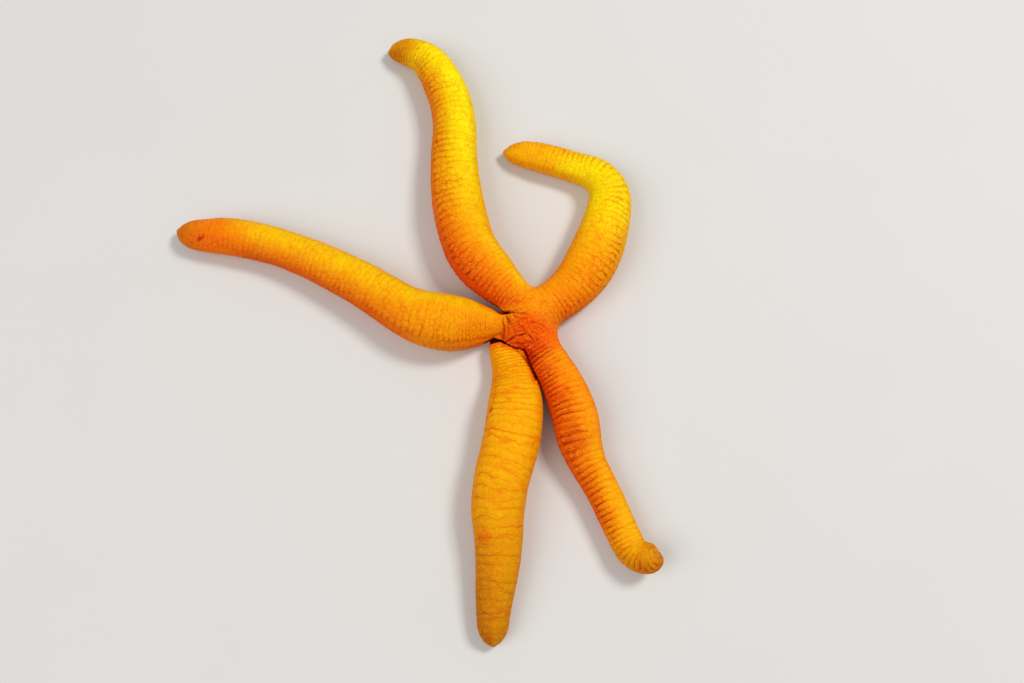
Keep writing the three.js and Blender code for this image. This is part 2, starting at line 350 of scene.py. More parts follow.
def noise(points, size, seed):
    """Smooth noise from -1 to 1, its lumps about `size` across. Size may differ by axis."""
    place = points / size
    low = np.floor(place)
    part = place - low
    part = part * part * (3 - 2 * part)
    total = 0
    for corner in np.ndindex((2,) * points.shape[1]):
        weight = 1
        for axis, far in enumerate(corner):
            weight = weight * (part[:, axis] if far else 1 - part[:, axis])
        keys = [low[:, axis] + far for axis, far in enumerate(corner)]
        total = total + weight * scatter(*keys, seed=seed)
    return 2 * total - 1


def smooth_through(knots, values, at):
    """A smooth curve through the values, its slope at each knot taken from those beside it."""
    secants = np.diff(values) / np.diff(knots)
    before = np.diff(knots)[:-1]
    after = np.diff(knots)[1:]
    inner = (secants[:-1] * after + secants[1:] * before) / (before + after)
    slopes = np.concatenate([secants[:1], inner, secants[-1:]])
    i = np.clip(np.searchsorted(knots, at, side="left") - 1, 0, len(knots) - 2)
    h = knots[i + 1] - knots[i]
    t = np.clip((at - knots[i]) / h, 0, 1)
    u = 1 - t
    return (
        values[i] * u * u * (1 + 2 * t)
        + slopes[i] * h * t * u * u
        + values[i + 1] * t * t * (3 - 2 * t)
        - slopes[i + 1] * h * t * t * u
    )


# ---------------------------------------------------------------- arms


class Ring:
    """The section of an arm at each of many distances along it."""

    COLUMNS = "x y z cos_h sin_h cos_p sin_p bend width height nose rows row".split()

    def __init__(self, table, place):
        low = np.clip(place.astype(np.int64), 0, len(table) - 2)
        part = np.clip(place - low, 0, 1)[:, None]
        values = table[low] * (1 - part) + table[low + 1] * part
        for name, column in zip(self.COLUMNS, values.T):
            setattr(self, name, column)
        self.centre = values[:, :3]
        none = np.zeros(len(values))
        self.left = np.stack([-self.sin_h, self.cos_h, none], 1)
        self.up = np.stack([-self.sin_p * self.cos_h, -self.sin_p * self.sin_h, self.cos_p], 1)
        self.ahead = np.stack([self.cos_p * self.cos_h, self.cos_p * self.sin_h, self.sin_p], 1)


class Arm:
    """An arm swept along a path: its rings, its field and its furrow."""

    def __init__(self, skin, name, root, heading, root_height, stretches, nose=NOSE_LENGTH):
        self.skin = skin
        self.name = name
        self.nose = nose
        lengths, turns, pitches, widths = np.array(stretches, float).T
        knots = np.concatenate([[0], np.cumsum(lengths)])
        self.total = knots[-1]
        headings = np.radians(heading + np.concatenate([[0], np.cumsum(turns)]))
        pitches = np.radians(np.concatenate([[0], pitches]))
        widths = np.concatenate([widths[:1], widths])

        s = np.arange(-LEAD, self.total + LEAD + TRACE / 2, TRACE)
        middles = s[:-1] + TRACE / 2
        h = np.interp(middles, knots, headings)
        p = np.interp(middles, knots, pitches)
        steps = np.stack([np.cos(p) * np.cos(h), np.cos(p) * np.sin(h), np.sin(p)], 1) * TRACE
        path = np.concatenate([np.zeros((1, 3)), np.cumsum(steps, 0)])
        path += CENTRE + np.array([*root, 0]) - path[int(LEAD / TRACE)]

        inside = np.clip(s, 0, self.total)
        width = smooth_through(knots, widths, inside)
        fade = smooth_step(s, *ROOT_FADE)
        height = root_height * (1 - fade) + width * HEIGHT_TO_WIDTH * fade
        round_off = np.sqrt(1 - np.clip(self.into_nose(s), 0, 1) ** 2)
        path[:, 2] += height / 2 * (1 - (1 - 2 * NOSE_LIFT) * (1 - round_off))

        h = np.interp(s, knots, headings)
        p = np.interp(s, knots, pitches)
        row = self.row_space(s, width)
        rows = np.concatenate([[0], np.cumsum(TRACE / row[:-1])])
        columns = [np.cos(h), np.sin(h), np.cos(p), np.sin(p), np.gradient(h, TRACE)]
        columns += [width, height, round_off, rows, row]
        self.table = np.column_stack([path, *columns])
        self.reach = width.max() / 2 + MARGIN + MAP_CELL
        self.chart()

    def chart(self):
        """Maps, seen from above, the nearest distance along the arm and how far off it is."""
        axes = [MAP_LOW[i] + MAP_CELL * np.arange(MAP_COUNT[i]) for i in range(2)]
        spots = np.stack(np.meshgrid(*axes, indexing="ij"), -1).reshape(-1, 1, 2)
        away = np.linalg.norm(spots - self.table[None, ::2, :2], axis=2)
        place = away.argmin(1) * 2 * TRACE - LEAD
        self.map = np.stack([place, away.min(1)], 1).reshape(*MAP_COUNT, 2)

    def into_nose(self, s):
        return np.maximum(0, 1 - (self.total - s) / self.nose) * NOSE_CUT

    def row_space(self, s, width):
        """Space between the rows: crowded at the pinched root and towards the tip."""
        narrow = 0.4 + 0.6 * width / width.max()
        tip = 1 - (1 - self.skin["crowd"]) * smooth_step(s, self.total - 35, self.total - 8)
        at_root, beyond = self.skin["row"]
        return at_root + (beyond * narrow * tip - at_root) * smooth_step(s, 6, 60)

    def ring(self, s):
        return Ring(self.table, (np.asarray(s) + LEAD) / TRACE)

    def nearest(self, points):
        """The nearest distance along the arm, coarsely and seen from above, and how far off."""
        cell = np.rint((points[:, :2] - MAP_LOW) / MAP_CELL).astype(int)
        cell = np.clip(cell, 0, MAP_COUNT - 1)
        return self.map[cell[:, 0], cell[:, 1]].T

    def locate(self, points, s):
        """Slides each distance along until the ring's plane there passes through the point."""
        for _ in range(4):
            ring = self.ring(s)
            offset = points - ring.centre
            sideways = (offset * ring.left).sum(1)
            s = s + (offset * ring.ahead).sum(1) / np.maximum(0.3, 1 - ring.bend * sideways)
            s = np.clip(s, -LEAD, self.total + LEAD)
        return s

    def section(self, points, s):
        """Each point's ring, and the point's place across and up in that ring."""
        ring = self.ring(s)
        offset = points - ring.centre
        return ring, (offset * ring.left).sum(1), (offset * ring.up).sum(1)

    def angle(self, points, s):
        """Each point's ring, and its angle round the arm: 0 on the back, positive on the left."""
        ring, across, up = self.section(points, s)
        return ring, np.arctan2(across, up + ANGLE_DROP * ring.height)

    def field(self, points, s):
        """About how far each point is outside the arm, negative inside."""
        ring, across, up = self.section(points, s)
        half = 0.5 / (1 - SOLE_SHARE)
        sink = half - 0.5
        end = np.maximum(0, self.nose - (self.total - s)) + np.maximum(0, -s)
        end_reach = np.where(s > 0, self.nose / NOSE_CUT, ROOT_ROUND)
        places = np.stack([across, up + sink * ring.height * ring.nose, end], 1)
        radii = np.stack([ring.width / 2, half * ring.height, end_reach], 1)
        sole = -(up + 0.5 * ring.height * ring.nose)
        return smooth_max(outside_ellipsoid(places, radii), sole, SOLE_ROUNDING)

    def furrow_depth(self, ring, s):
        fade = smooth_step(self.total - s, FURROW_END, FURROW_END + FURROW_FADE)
        return FURROW_DEPTH * ring.height * fade

    def furrow(self, points, s):
        """About how far each point is outside the furrow in the arm's sole."""
        ring, across, up = self.section(points, s)
        above = up + 0.5 * ring.height * ring.nose
        depth = self.furrow_depth(ring, s) * smooth_step(s, -3, 1)
        past = FURROW_CLOSED * smooth_step(s, self.total - FURROW_END, self.total + 1)
        return outside_groove(across, above, FURROW_HALF_WIDTH * ring.width, depth) + past


MAP_LOW = LOW[:2] - 2 * MARGIN
MAP_COUNT = np.ceil((HIGH[:2] + 2 * MARGIN - MAP_LOW) / MAP_CELL).astype(int) + 1
skins = [dict(zip(SKINS, values)) for values in zip(*SKINS.values())]
arms = [Arm(skin, **shape) for skin, shape in zip(skins, ARMS)]
numbers = {arm.name: number for number, arm in enumerate(arms)}

# ---------------------------------------------------------------- the smooth body


def disc_field(points):
    """About how far each point is outside the disc, negative inside."""
    rise = points[:, 2] - DISC_RIM
    places = np.stack([from_centre(points), rise], 1)
    upright = np.where(rise > 0, DISC_HEIGHT - DISC_RIM, DISC_BELOW)
    radii = np.stack([np.full(len(points), DISC_RADIUS), upright], 1)
    return smooth_max(outside_ellipsoid(places, radii), -points[:, 2], SOLE_ROUNDING)


def mouth_field(points):
    """The mouth's hollow and the channels that lead to it from the arms' furrows."""
    offset, height = points[:, :2] - CENTRE[:2], points[:, 2]
    hollow = np.hypot(from_centre(points) / MOUTH_RADIUS, height / MOUTH_DEPTH) - 1
    hollow *= MOUTH_DEPTH
    for arm in arms:
        end = (arm.ring([CHANNEL_START]).centre - CENTRE)[0, :2]
        share = np.clip(offset @ end / (end @ end), 0, 1)
        across = np.linalg.norm(offset - share[:, None] * end, axis=1)
        channel = outside_groove(across, height, CHANNEL_HALF_WIDTH, CHANNEL_DEPTH)
        hollow = np.minimum(hollow, channel)
    return hollow


def gap_field(points):
    """About how far each point is outside the gap and the notch, and how far it lies on the
    left of the nearest line, which is the rim's side of the gap."""
    offset = points[:, :2] - CENTRE[:2] - (GAP_MOUTH - points[:, 2:]) * GAP_LEAN
    nearest = np.full(len(points), FAR)
    closest = np.full(len(points), FAR)
    beside = np.zeros(len(points))
    for start, end in [*zip(GAP, GAP[1:]), *zip(NOTCH, NOTCH[1:])]:
        start = np.array(start)
        along = (end - start)[:2]
        from_start = offset - start[:2]
        share = np.clip(from_start @ along / (along @ along), 0, 1)
        away = np.linalg.norm(from_start - share[:, None] * along, axis=1)
        bottom, half = (start[2:] + share[:, None] * (end - start)[2:]).T
        nearest = np.minimum(nearest, smooth_max(away - half, bottom - points[:, 2], 1.5))
        side = np.sign(along[0] * from_start[:, 1] - along[1] * from_start[:, 0])
        beside = np.where(away < closest, side * away, beside)
        closest = np.minimum(closest, away)
    return nearest, beside


def body_field(points):
    """The whole body's field, and for each arm its own field and the distance along it."""
    level = disc_field(points)
    fields = np.full((len(arms), len(points)), FAR)
    places = np.zeros((len(arms), len(points)))
    hollow = np.full(len(points), FAR)
    middle = from_centre(points) < OPENINGS_ZONE
    for i, arm in enumerate(arms):
        s, off = arm.nearest(points)
        near = np.flatnonzero(off < arm.reach)
        s = arm.locate(points[near], s[near])
        places[i, near] = s
        fields[i, near] = arm.field(points[near], s)
        hollow[near] = np.minimum(hollow[near], arm.furrow(points[near], s))
        apart = level - fields[i]
        level = smooth_min(level, fields[i], arm.skin["blend"])
        crease = bell(apart, CREASE_REACH) * smooth_step(points[:, 2], 2, 6)
        level += arm.skin["crease"] * crease
    level = smooth_max(level, -hollow, FURROW_ROUNDING)
    openings = np.minimum(mouth_field(points[middle]), gap_field(points[middle])[0])
    level[middle] = smooth_max(level[middle], -openings, OPENING_ROUNDING)
    return level, fields, places


def surface_net(levels, low, cell):
    """Quads round the zero level of a field given on a grid."""
    inside = levels < 0
    corners = list(np.ndindex(2, 2, 2))
    shape = np.array(levels.shape) - 1

    def corner_view(values, corner):
        return values[tuple(slice(c, c + n) for c, n in zip(corner, shape))]

    count = sum(corner_view(inside, corner).astype(np.int8) for corner in corners)
    mixed = (count > 0) & (count < 8)
    cells = np.argwhere(mixed)
    index = np.full(shape, -1)
    index[mixed] = np.arange(len(cells))

    total = np.zeros((len(cells), 3))
    crossings = np.zeros(len(cells))
    for a in corners:
        for axis in range(3):
            if a[axis]:
                continue
            step = np.eye(3, dtype=int)[axis]
            here = corner_view(levels, a)[mixed]
            there = corner_view(levels, tuple(np.array(a) + step))[mixed]
            crossed = (here < 0) != (there < 0)
            share = here[crossed] / (here[crossed] - there[crossed])
            total[crossed] += np.array(a) + share[:, None] * step
            crossings[crossed] += 1
    points = low + cell * (cells + total / crossings[:, None])

    quads = []
    for axis in range(3):
        change = np.diff(inside.astype(np.int8), axis=axis)
        edge = np.argwhere(change)
        entering = change[tuple(edge.T)] > 0
        u, v = (axis + 1) % 3, (axis + 2) % 3
        ring = []
        for du, dv in ((0, 0), (1, 0), (1, 1), (0, 1)):
            cell_at = edge.copy()
            cell_at[:, u] -= du
            cell_at[:, v] -= dv
            ring.append(index[tuple(cell_at.T)])
        quad = np.stack(ring, 1)
        quad[entering] = quad[entering][:, ::-1]
        quads.append(quad)
    return points, np.concatenate(quads)


def quarter(points, quads):
    """Splits each quad into four."""
    pairs = np.stack([quads, np.roll(quads, -1, 1)], 2).reshape(-1, 2)
    pairs.sort(1)
    keys, which = np.unique(pairs[:, 0] * len(points) + pairs[:, 1], return_inverse=True)
    ends = np.stack([keys // len(points), keys % len(points)], 1)
    edge = (len(points) + which).reshape(quads.shape)
    face = len(points) + len(keys) + np.arange(len(quads))
    split = [
        np.stack([quads[:, i], edge[:, i], face, edge[:, i - 1]], 1) for i in range(4)
    ]
    everything = [points, points[ends].mean(1), points[quads].mean(1)]
    return np.concatenate(everything), np.concatenate(split)


def sum_round(quads, values, count):
    """For each of `count` points, the sum of the values of the faces round it."""
    corners = quads.ravel()
    return np.stack([np.bincount(corners, np.repeat(v, 4), count) for v in values.T], 1)


def vertex_normals(points, quads):
    a, b, c, d = points[quads.T]
    normals = sum_round(quads, np.cross(c - a, d - b), len(points))
    return normals / np.maximum(np.linalg.norm(normals, axis=1, keepdims=True), 1e-9)


def relax(points, quads, share):
    """Moves each point part of the way to the middle of its faces' middles."""
    faces = np.bincount(quads.ravel(), minlength=len(points))[:, None]
    middles = sum_round(quads, points[quads].mean(1), len(points)) / faces
    return points + share * (middles - points)


def settle(points, quads, rounds):
    """Brings the points onto the body's smooth surface."""
    for _ in range(rounds):
        normals = vertex_normals(points, quads)
        level = body_field(points)[0]
        points = points - normals * np.clip(level, -0.5, 0.5)[:, None]
    return points


def smooth_body():
    """The body without its relief, found on a grid and then made finer and smoother."""
    low = LOW - MARGIN
    count = np.ceil((HIGH + MARGIN - low) / GRID).astype(int) + 1
    axes = [low[i] + GRID * np.arange(count[i]) for i in range(3)]
    grid = np.stack(np.meshgrid(*axes, indexing="ij"), -1)
    columns = grid[:, :, 0, :2].reshape(-1, 2)
    close = from_centre(columns) < DISC_RADIUS + MARGIN
    for arm in arms:
        close |= arm.nearest(columns)[1] < arm.reach
    close = close.reshape(count[:2])
    levels = np.full(count, FAR)
    levels[close] = body_field(grid[close].reshape(-1, 3))[0].reshape(-1, count[2])
    points, quads = surface_net(levels, low, GRID)
    points = settle(relax(points, quads, 0.5), quads, 2)
    points, quads = quarter(points, quads)
    points = settle(relax(points, quads, 0.6), quads, 1)
    return points, quads


# ---------------------------------------------------------------- the body wall's relief


def plates(rows, around, columns, row_space, column_space, jitter, seed):
    """Plates in staggered rows: how far each point is from the nearest crack, whether that
    crack lies between rows (1) or between plates of one row (0), and the plate's number."""
    found = []
    for row in (np.floor(rows) + step for step in (-1, 0, 1)):
        shift = 0.5 * (row % 2)
        for column in (np.floor(around - shift) + step for step in (-1, 0, 1)):
            key = column % columns if columns else column
            row_stray, stray, number = (scatter(row, key, seed=seed + i) for i in range(3))
            row_middle = row + 0.5 + jitter[0] * (row_stray - 0.5)
            middle = column + 0.5 + shift + jitter[1] * (stray - 0.5)
            dx = (middle - around) * column_space
            dy = (row_middle - rows) * row_space
            found.append((dx * dx + dy * dy, dx, dy, number))
    found = np.array(found)
    nearest = found[:, 0].argsort(0, kind="stable")[:2]
    first, second = np.take_along_axis(found, nearest[:, None], 0)
    gap_y = second[2] - first[2]
    gap = np.maximum(np.hypot(second[1] - first[1], gap_y), 1e-6)
    edge = (second[0] - first[0]) / (2 * gap)
    return edge, smooth_step(np.abs(gap_y) / gap, 0.45, 0.8), first[3]


class SkinPlace:
    """Where each of many points lies on an arm's skin, and how rough the skin is there.

    `rows` counts the rows of plates, `slope` is 1 on the rough side and -1 on the other, and
    `side` is the roughness that comes with it. `broken` is higher in patches where cracks are
    deep, `calm` is low where they fade, and `lobed` is 1 on an arm with strong lobes.
    """

    def __init__(self, arm, points, s):
        self.skin = skin = arm.skin
        self.points, self.s = points, s
        self.ring, self.angle = arm.angle(points, s)
        self.wide = self.ring.width * self.ring.nose
        wander = noise(points, 8.0, 11) + 0.6 * noise(points, 2.8, 12)
        self.rows = self.ring.rows + skin["wander"] * wander
        self.slope = np.sin(self.angle) * skin["lee"]
        self.side = smooth_step(self.slope, -0.45, 0.9)
        patches = smooth_step(noise(points, 9.0, 14) + 0.6 * noise(points, 3.5, 15), -0.8, 0.5)
        self.broken = np.maximum(patches, 0.7 * self.side)
        self.calm = 1 - 0.75 * skin["rough"] * smooth_step(-self.slope, 0.0, 0.7)
        self.calm *= 1 - 0.4 * smooth_step(s, arm.total - 26, arm.total - 8)
        self.lobed = min(1, skin["lobe"] / 0.3)


def row_relief(at):
    """The rows of plates: their height, how dark their cracks are painted, as shade that deepens
    with the crack, and the lattice that the material draws its lines on: columns, rows and how
    clear the lines between rows are."""
    skin, rows, side, points = at.skin, at.rows, at.side, at.points
    rough, ringed, groove, cross = (skin[key] for key in ("rough", "ringed", "groove", "cross"))
    girth = math.pi * 0.93 * at.wide
    around = at.angle / (2 * math.pi) * PLATES_ROUND + 0.4 * noise(points, 5.0, 13)
    edge, between_rows, number = plates(
        rows, around % PLATES_ROUND, PLATES_ROUND,
        at.ring.row, np.maximum(0.9, girth / PLATES_ROUND), (0.3 - 0.25 * ringed, 0.7), seed=21,
    )
    root = 1 - smooth_step(at.s, 14, 34)
    strength = 0.5 + (0.3 + 0.8 * rough) * side + 0.4 * root
    row_depth = groove * strength * (0.25 + 0.75 * at.broken) * at.calm
    cross_depth = cross * (0.7 + 0.6 * side) * (0.4 + 0.6 * at.broken)
    depth = cross_depth + (row_depth - cross_depth) * between_rows
    below = smooth_step(at.slope, 0.84, 0.95) * at.lobed
    row_depth = row_depth * (1 - 0.6 * below)
    depth = depth * (1 - 0.65 * below)

    swell = np.abs(np.sin(math.pi * rows)) ** 0.6
    crinkle = 0.6 + 0.8 * smooth_step(noise(points, 2.2, 20), -0.6, 0.6)
    flat = 1 - 0.4 * ringed
    height = row_depth * ringed * (swell - 0.7) * 1.6 * crinkle
    height -= depth * flat * bell(edge, 0.22)
    height += (0.05 + 0.5 * depth) * (smooth_step(edge, 0.0, 1.0) - 0.6) * flat
    height += 0.07 * (number - 0.5)
    valley = bell(swell, 0.3) * ringed * (0.4 + 0.6 * crinkle)
    # Painted shade in the cracks, darker where they are deeper.
    crack = np.maximum(bell(edge, 0.2), valley) * (depth / 0.2).clip(0.15, 0.95)

    clear = 0.45 - 0.15 * rough + (0.3 + 0.4 * rough) * side + 0.3 * root
    clear = groove / 0.16 * clear * (0.3 + 0.7 * at.broken) * at.calm
    clear *= 1 - 0.8 * smooth_step(at.slope, 0.8, 0.95)
    columns = around * (1 if cross > 0.05 else 0.12)
    return height, crack, np.stack([columns, rows, clear.clip(0, 1)], 1)


def add_lobes(at, height, crack):
    """On the rough side each row ends in a rounded lobe that stands out over its flank, which is
    darkened below it as painted shade.
    """
    turn = np.abs(at.angle) + 0.09 * noise(at.points, 3.0, 16)
    bulge = np.abs(np.sin(math.pi * at.rows)) ** 0.7
    over = (0.92 + 0.15 * bulge - turn) * at.wide / 2
    very_rough = at.skin["rough"] > 0.5
    fade = 0.6 * smooth_step(at.s, 75, 110) if very_rough else 0.8 * smooth_step(at.s, 28, 48)
    stand = at.skin["lobe"] * (at.slope > 0) * smooth_step(at.s, 8, 20) * (1 - fade)
    stand *= 0.3 + 0.7 * smooth_step(noise(at.points, 4.5, 22), -0.6, 0.2)
    notch = bell(bulge, 0.4) * bell(over - 0.2, 1.1)
    height += 2.0 * stand * (smooth_step(over, -0.4, 0.5) - 0.6) * bell(over - 0.4, 2.2)
    height -= 1.5 * stand * notch
    # Painted shade on the flank just below each lobe and in the notches between lobes.
    dark = np.maximum(0.8 * notch, bell(over + 0.35, 0.35))
    return height, np.maximum(crack, 3.0 * stand * dark)


def add_pits(at, height, crack):
    """Below the lobes run two files of small bumps, with a pit below each, darkened as painted
    shade.
    """
    stray = noise(at.points, 3.0, 16)
    turn = np.abs(at.angle)
    flank = smooth_step(turn + 0.09 * stray, 1.05, 1.25) * (at.slope > 0) * at.lobed
    phase = (at.rows - np.round(at.rows)) * at.ring.row
    rough = (0.1 + 0.9 * at.side) * smooth_step(at.s, 10, 22) * (0.3 + 0.7 * at.broken)
    for at_angle, deep in ((1.4, 0.8), (1.85, 0.5)):
        off = (turn - at_angle) * at.wide / 2 + 0.6 * stray
        pit = bell(0.8 * off + 0.6 * phase, 0.75) * bell(0.8 * phase - 0.6 * off, 0.3)
        pit *= deep * rough
        knob = bell(off + 0.8, 0.5) * bell(phase, 0.55) * flank
        height += 0.28 * knob - 0.3 * pit
        crack = np.maximum(crack, pit) * (1 - knob)
    return height, crack


def arm_relief(arm, points, s):
    """An arm's relief: its height, how dark its cracks are painted as shade, its lattice of
    plates, and how far each point lies towards the rough side, from -1 to 1."""
    at = SkinPlace(arm, points, s)
    height, crack, lattice = row_relief(at)
    height, crack = add_lobes(at, height, crack)
    height, crack = add_pits(at, height, crack)
    for size, seed, tall in ((12.0, 17, 0.18), (4.5, 18, 0.08), (1.3, 19, 0.05)):
        height += tall * noise(points, size, seed)
    return height, crack, lattice, at.slope


def fold_lines(points):
    """The disc's deep folds, as a depth below the smooth body."""
    offset = (points - CENTRE)[:, :2]
    offset = offset + 0.45 * np.stack([noise(points, 2.4, 31), noise(points, 2.4, 32)], 1)
    depth = np.zeros(len(points))
    shares = np.linspace(0, 1, 15)
    for start, heading, end_heading, length, deep in FOLDS:
        headings = np.radians(heading + (end_heading - heading) * shares)
        steps = np.stack([np.cos(headings), np.sin(headings)], 1) * length / (len(shares) - 1)
        line = np.array(start) + np.cumsum(steps, 0) - steps[0]
        away = np.linalg.norm(offset[:, None] - line[None], axis=2)
        nearest = away.argmin(1)
        taper = np.sin(math.pi * (0.08 + 0.84 * shares[nearest])) ** 0.6
        depth = np.maximum(depth, deep * taper * bell(away.min(1), FOLD_WIDTH))
    return depth


def disc_relief(points):
    """The disc's relief: its height and how dark its cracks are painted as shade."""
    along, across = turned(*(points - CENTRE)[:, :2].T, DISC_ROWS)
    along = along + 0.9 * noise(points, 4.0, 41)
    across = across + 0.9 * noise(points, 4.0, 42)
    tall, long = 1.35, 3.6
    edge, _, number = plates(across / tall, along / long, 0, tall, long, (0.8, 0.9), seed=51)
    upper = smooth_step(points[:, 2], 5, 11)
    lobes = smooth_step(edge, 0.0, 0.9) - 0.6
    height = (0.14 + 0.22 * upper) * lobes - 0.16 * bell(edge, 0.2)
    height += 0.12 * (number - 0.5) + 0.25 * noise(points, 6.0, 45) * upper
    height += 0.06 * noise(points, 1.3, 46)
    crack = (0.2 + 0.45 * upper) * bell(edge, 0.2) * smooth_step(noise(points, 3.0, 47), -0.5, 0.4)
    return height, crack


def marks_and_shades(points, main):
    """The red marks and the patches of painted shade on the arms. `main` is the number of each
    point's arm.
    """
    mask = np.zeros(len(points))
    for name, s, degrees, reach, length, heading, strength in MARKS_AND_SHADES:
        ring = arms[numbers[name]].ring([s])
        angle = math.radians(degrees)
        spot = ring.centre + ring.left * ring.width / 2 * math.sin(angle)
        off = points - spot - ring.up * ring.height / 2 * math.cos(angle)
        close = np.linalg.norm(off, axis=1) < 3 * reach * length
        near = np.flatnonzero(close & (main == numbers[name]))
        x, y, z = (off[near] + 0.35 * reach * noise(points[near], 1.1, 71)[:, None]).T
        along, across = turned(x, y, heading)
        away = np.sqrt((along / length) ** 2 + across**2 + z**2)
        raise_to(mask, near, strength * (1 - smooth_step(away, 0.4 * reach, reach)))
    return mask


SKIN_WORDS = "crack lee under warm gold ochre rust red blotch folded".split()


def paint_arm(arm, points, s, slope):
    """How much of each of the skin's colours the points of an arm have, with painted shade on the
    side in shade, on the steep flanks and at the tip, and painted light on the other side.
    """
    skin = arm.skin
    cloud = 5 * noise(points, 16.0, 62) + 4 * noise(points, 5.0, 63)
    along = s + cloud
    orange, orange_end = skin["warm"]
    warm = orange * (1 - smooth_step(along, 0.3 * orange_end, orange_end))
    warm *= 0.35 + 0.65 * smooth_step(s, 6, 18)
    # Painted light: the side facing the light is less orange.
    warm *= 1 - skin["painted_sunlight"] * smooth_step(-slope, 0.1, 0.8)
    strength, rise, full, fall, end = skin["gold"]
    gold = strength * smooth_step(along, rise, full) * (1 - smooth_step(along, fall, end))
    # Painted light: that side is also more golden.
    pale = 0.3 * skin["painted_sunlight"] * smooth_step(-slope, 0.0, 0.8)
    at_root, beyond, change = skin["shade_red"]
    shade_red = at_root + (beyond - at_root) * smooth_step(along, change - 28, change)
    shade_red *= 1 - 0.75 * smooth_step(s, arm.total - 34, arm.total - 12)
    # Painted shade: the side in shade turns red, and the steep flanks darker red, a little on both
    # sides and most on the shaded one.
    lee = smooth_step(slope + 0.12 * noise(points, 3.0, 65), -0.6, 1.1)
    edge = 0.4 * smooth_step(np.abs(slope), 0.7, 1.0)
    under = np.maximum(smooth_step(slope, 0.75, 1.05) * shade_red, edge)
    shares = {"lee": lee * shade_red, "under": under, "warm": warm, "gold": gold.clip(pale)}
    for word in ("ochre", "rust"):
        strength, start, end = skin[word]
        tip = strength * smooth_step(s + 0.6 * cloud, start, end)
        shares[word] = tip * (0.85 + 0.3 * smooth_step(slope, -0.3, 0.8))
    return shares


class Rim:
    """The points near the gap and the notch, and how they lie to them."""

    def __init__(self, points):
        self.near = np.flatnonzero((from_centre(points) < RIM_ZONE) & (points[:, 2] > 3))
        self.x, self.y = (points[self.near, :2] - CENTRE[:2]).T
        self.z = points[self.near, 2]
        self.gap, self.beside = gap_field(points[self.near])
        self.side = smooth_step(self.beside, -0.3, 0.5)

    def divide(self, fields):
        """The arms' fields, with the front arm kept to its own side of the gap."""
        fields = fields.copy()
        at_gap = (1 - smooth_step(np.abs(self.beside), 2.5, 5.0)) * (self.y < 0)
        for field, arm in zip(fields, arms):
            other_side = self.side if arm.name == "arm_front" else 1 - self.side
            field[self.near] += GAP_DIVIDE * at_gap * other_side
        return fields

    def paint_gap_shade(self, about):
        """Painted shade: dark inside the gap and the notch, and orange beside them. Returns the
        red shade painted beside the gap.
        """
        # Painted shade inside the gap and the notch, darkest towards the left.
        inside = (1 - smooth_step(self.gap, 0.0, 0.3)) * (1 - smooth_step(self.z, 8.0, 11.0))
        inside *= 1.5 - 0.6 * smooth_step(self.x, -10, -2)
        inside *= np.where(self.y > 0, smooth_step(self.z, 3, 7), 1)
        raise_to(about["crack"], self.near, inside)
        # Painted shade beside the gap and the notch: orange, and red beside the gap.
        rim_shade = (1 - smooth_step(self.gap, 0.0, 4.0)) * (self.z > 5)
        down_the_arm = smooth_step(-self.y, 11, 15) * smooth_step(self.gap, 0, 2)
        rim_shade *= 1 - (1 - self.side) * down_the_arm
        raise_to(about["warm"], self.near, rim_shade)
        return 0.6 * rim_shade * (self.y < 0)


def wrinkle_disc(points, height, about):
    """Lays the disc's own relief over that of the arms' roots, and its deep folds over all,
    darkened as painted shade.
    """
    offset = points[:, :2] - CENTRE[:2] - FOLDED_MIDDLE
    from_folds = np.linalg.norm(offset, axis=1) + 1.2 * noise(points, 4.0, 61)
    folded = 1 - smooth_step(from_folds, *FOLDED_REACH)
    near = np.flatnonzero(folded > 1e-3)
    share = folded[near]
    tall, crack = disc_relief(points[near])
    height[near] += share * (tall - height[near])
    about["crack"][near] += share * (crack - about["crack"][near])
    near = np.flatnonzero((from_centre(points) < FOLD_ZONE) & (points[:, 2] > 6))
    folds = fold_lines(points[near]) * smooth_step(points[near, 2], 6, 10)
    height[near] -= folds
    # The folds are darkened as painted shade.
    raise_to(about["crack"], near, folds * 2.0)


def paint_disc(points, front, about):
    """Orange over the disc, with a reddish part. The disc ends at the front arm's root, whose
    field is `front`."""
    away = from_centre(points)
    near = np.flatnonzero(away < 2 * DISC_RADIUS)
    on_disc = smooth_step(front[near] - disc_field(points[near]), -0.3, 0.6)
    own = on_disc * (1 - smooth_step(away[near], 11, 17))
    about["warm"][near] += own * (0.8 - about["warm"][near]).clip(0)
    for word in ("gold", "ochre"):
        about[word][near] *= 1 - own
    offset = points[near, :2] - CENTRE[:2] - RED_MIDDLE
    from_red = np.linalg.norm(offset * RED_FLATNESS, axis=1) + 2.0 * noise(points[near], 5.0, 64)
    about["red"][near] = (1 - smooth_step(from_red, *RED_REACH)) * on_disc
    about["folded"] = 1 - smooth_step(away, 11, 16)


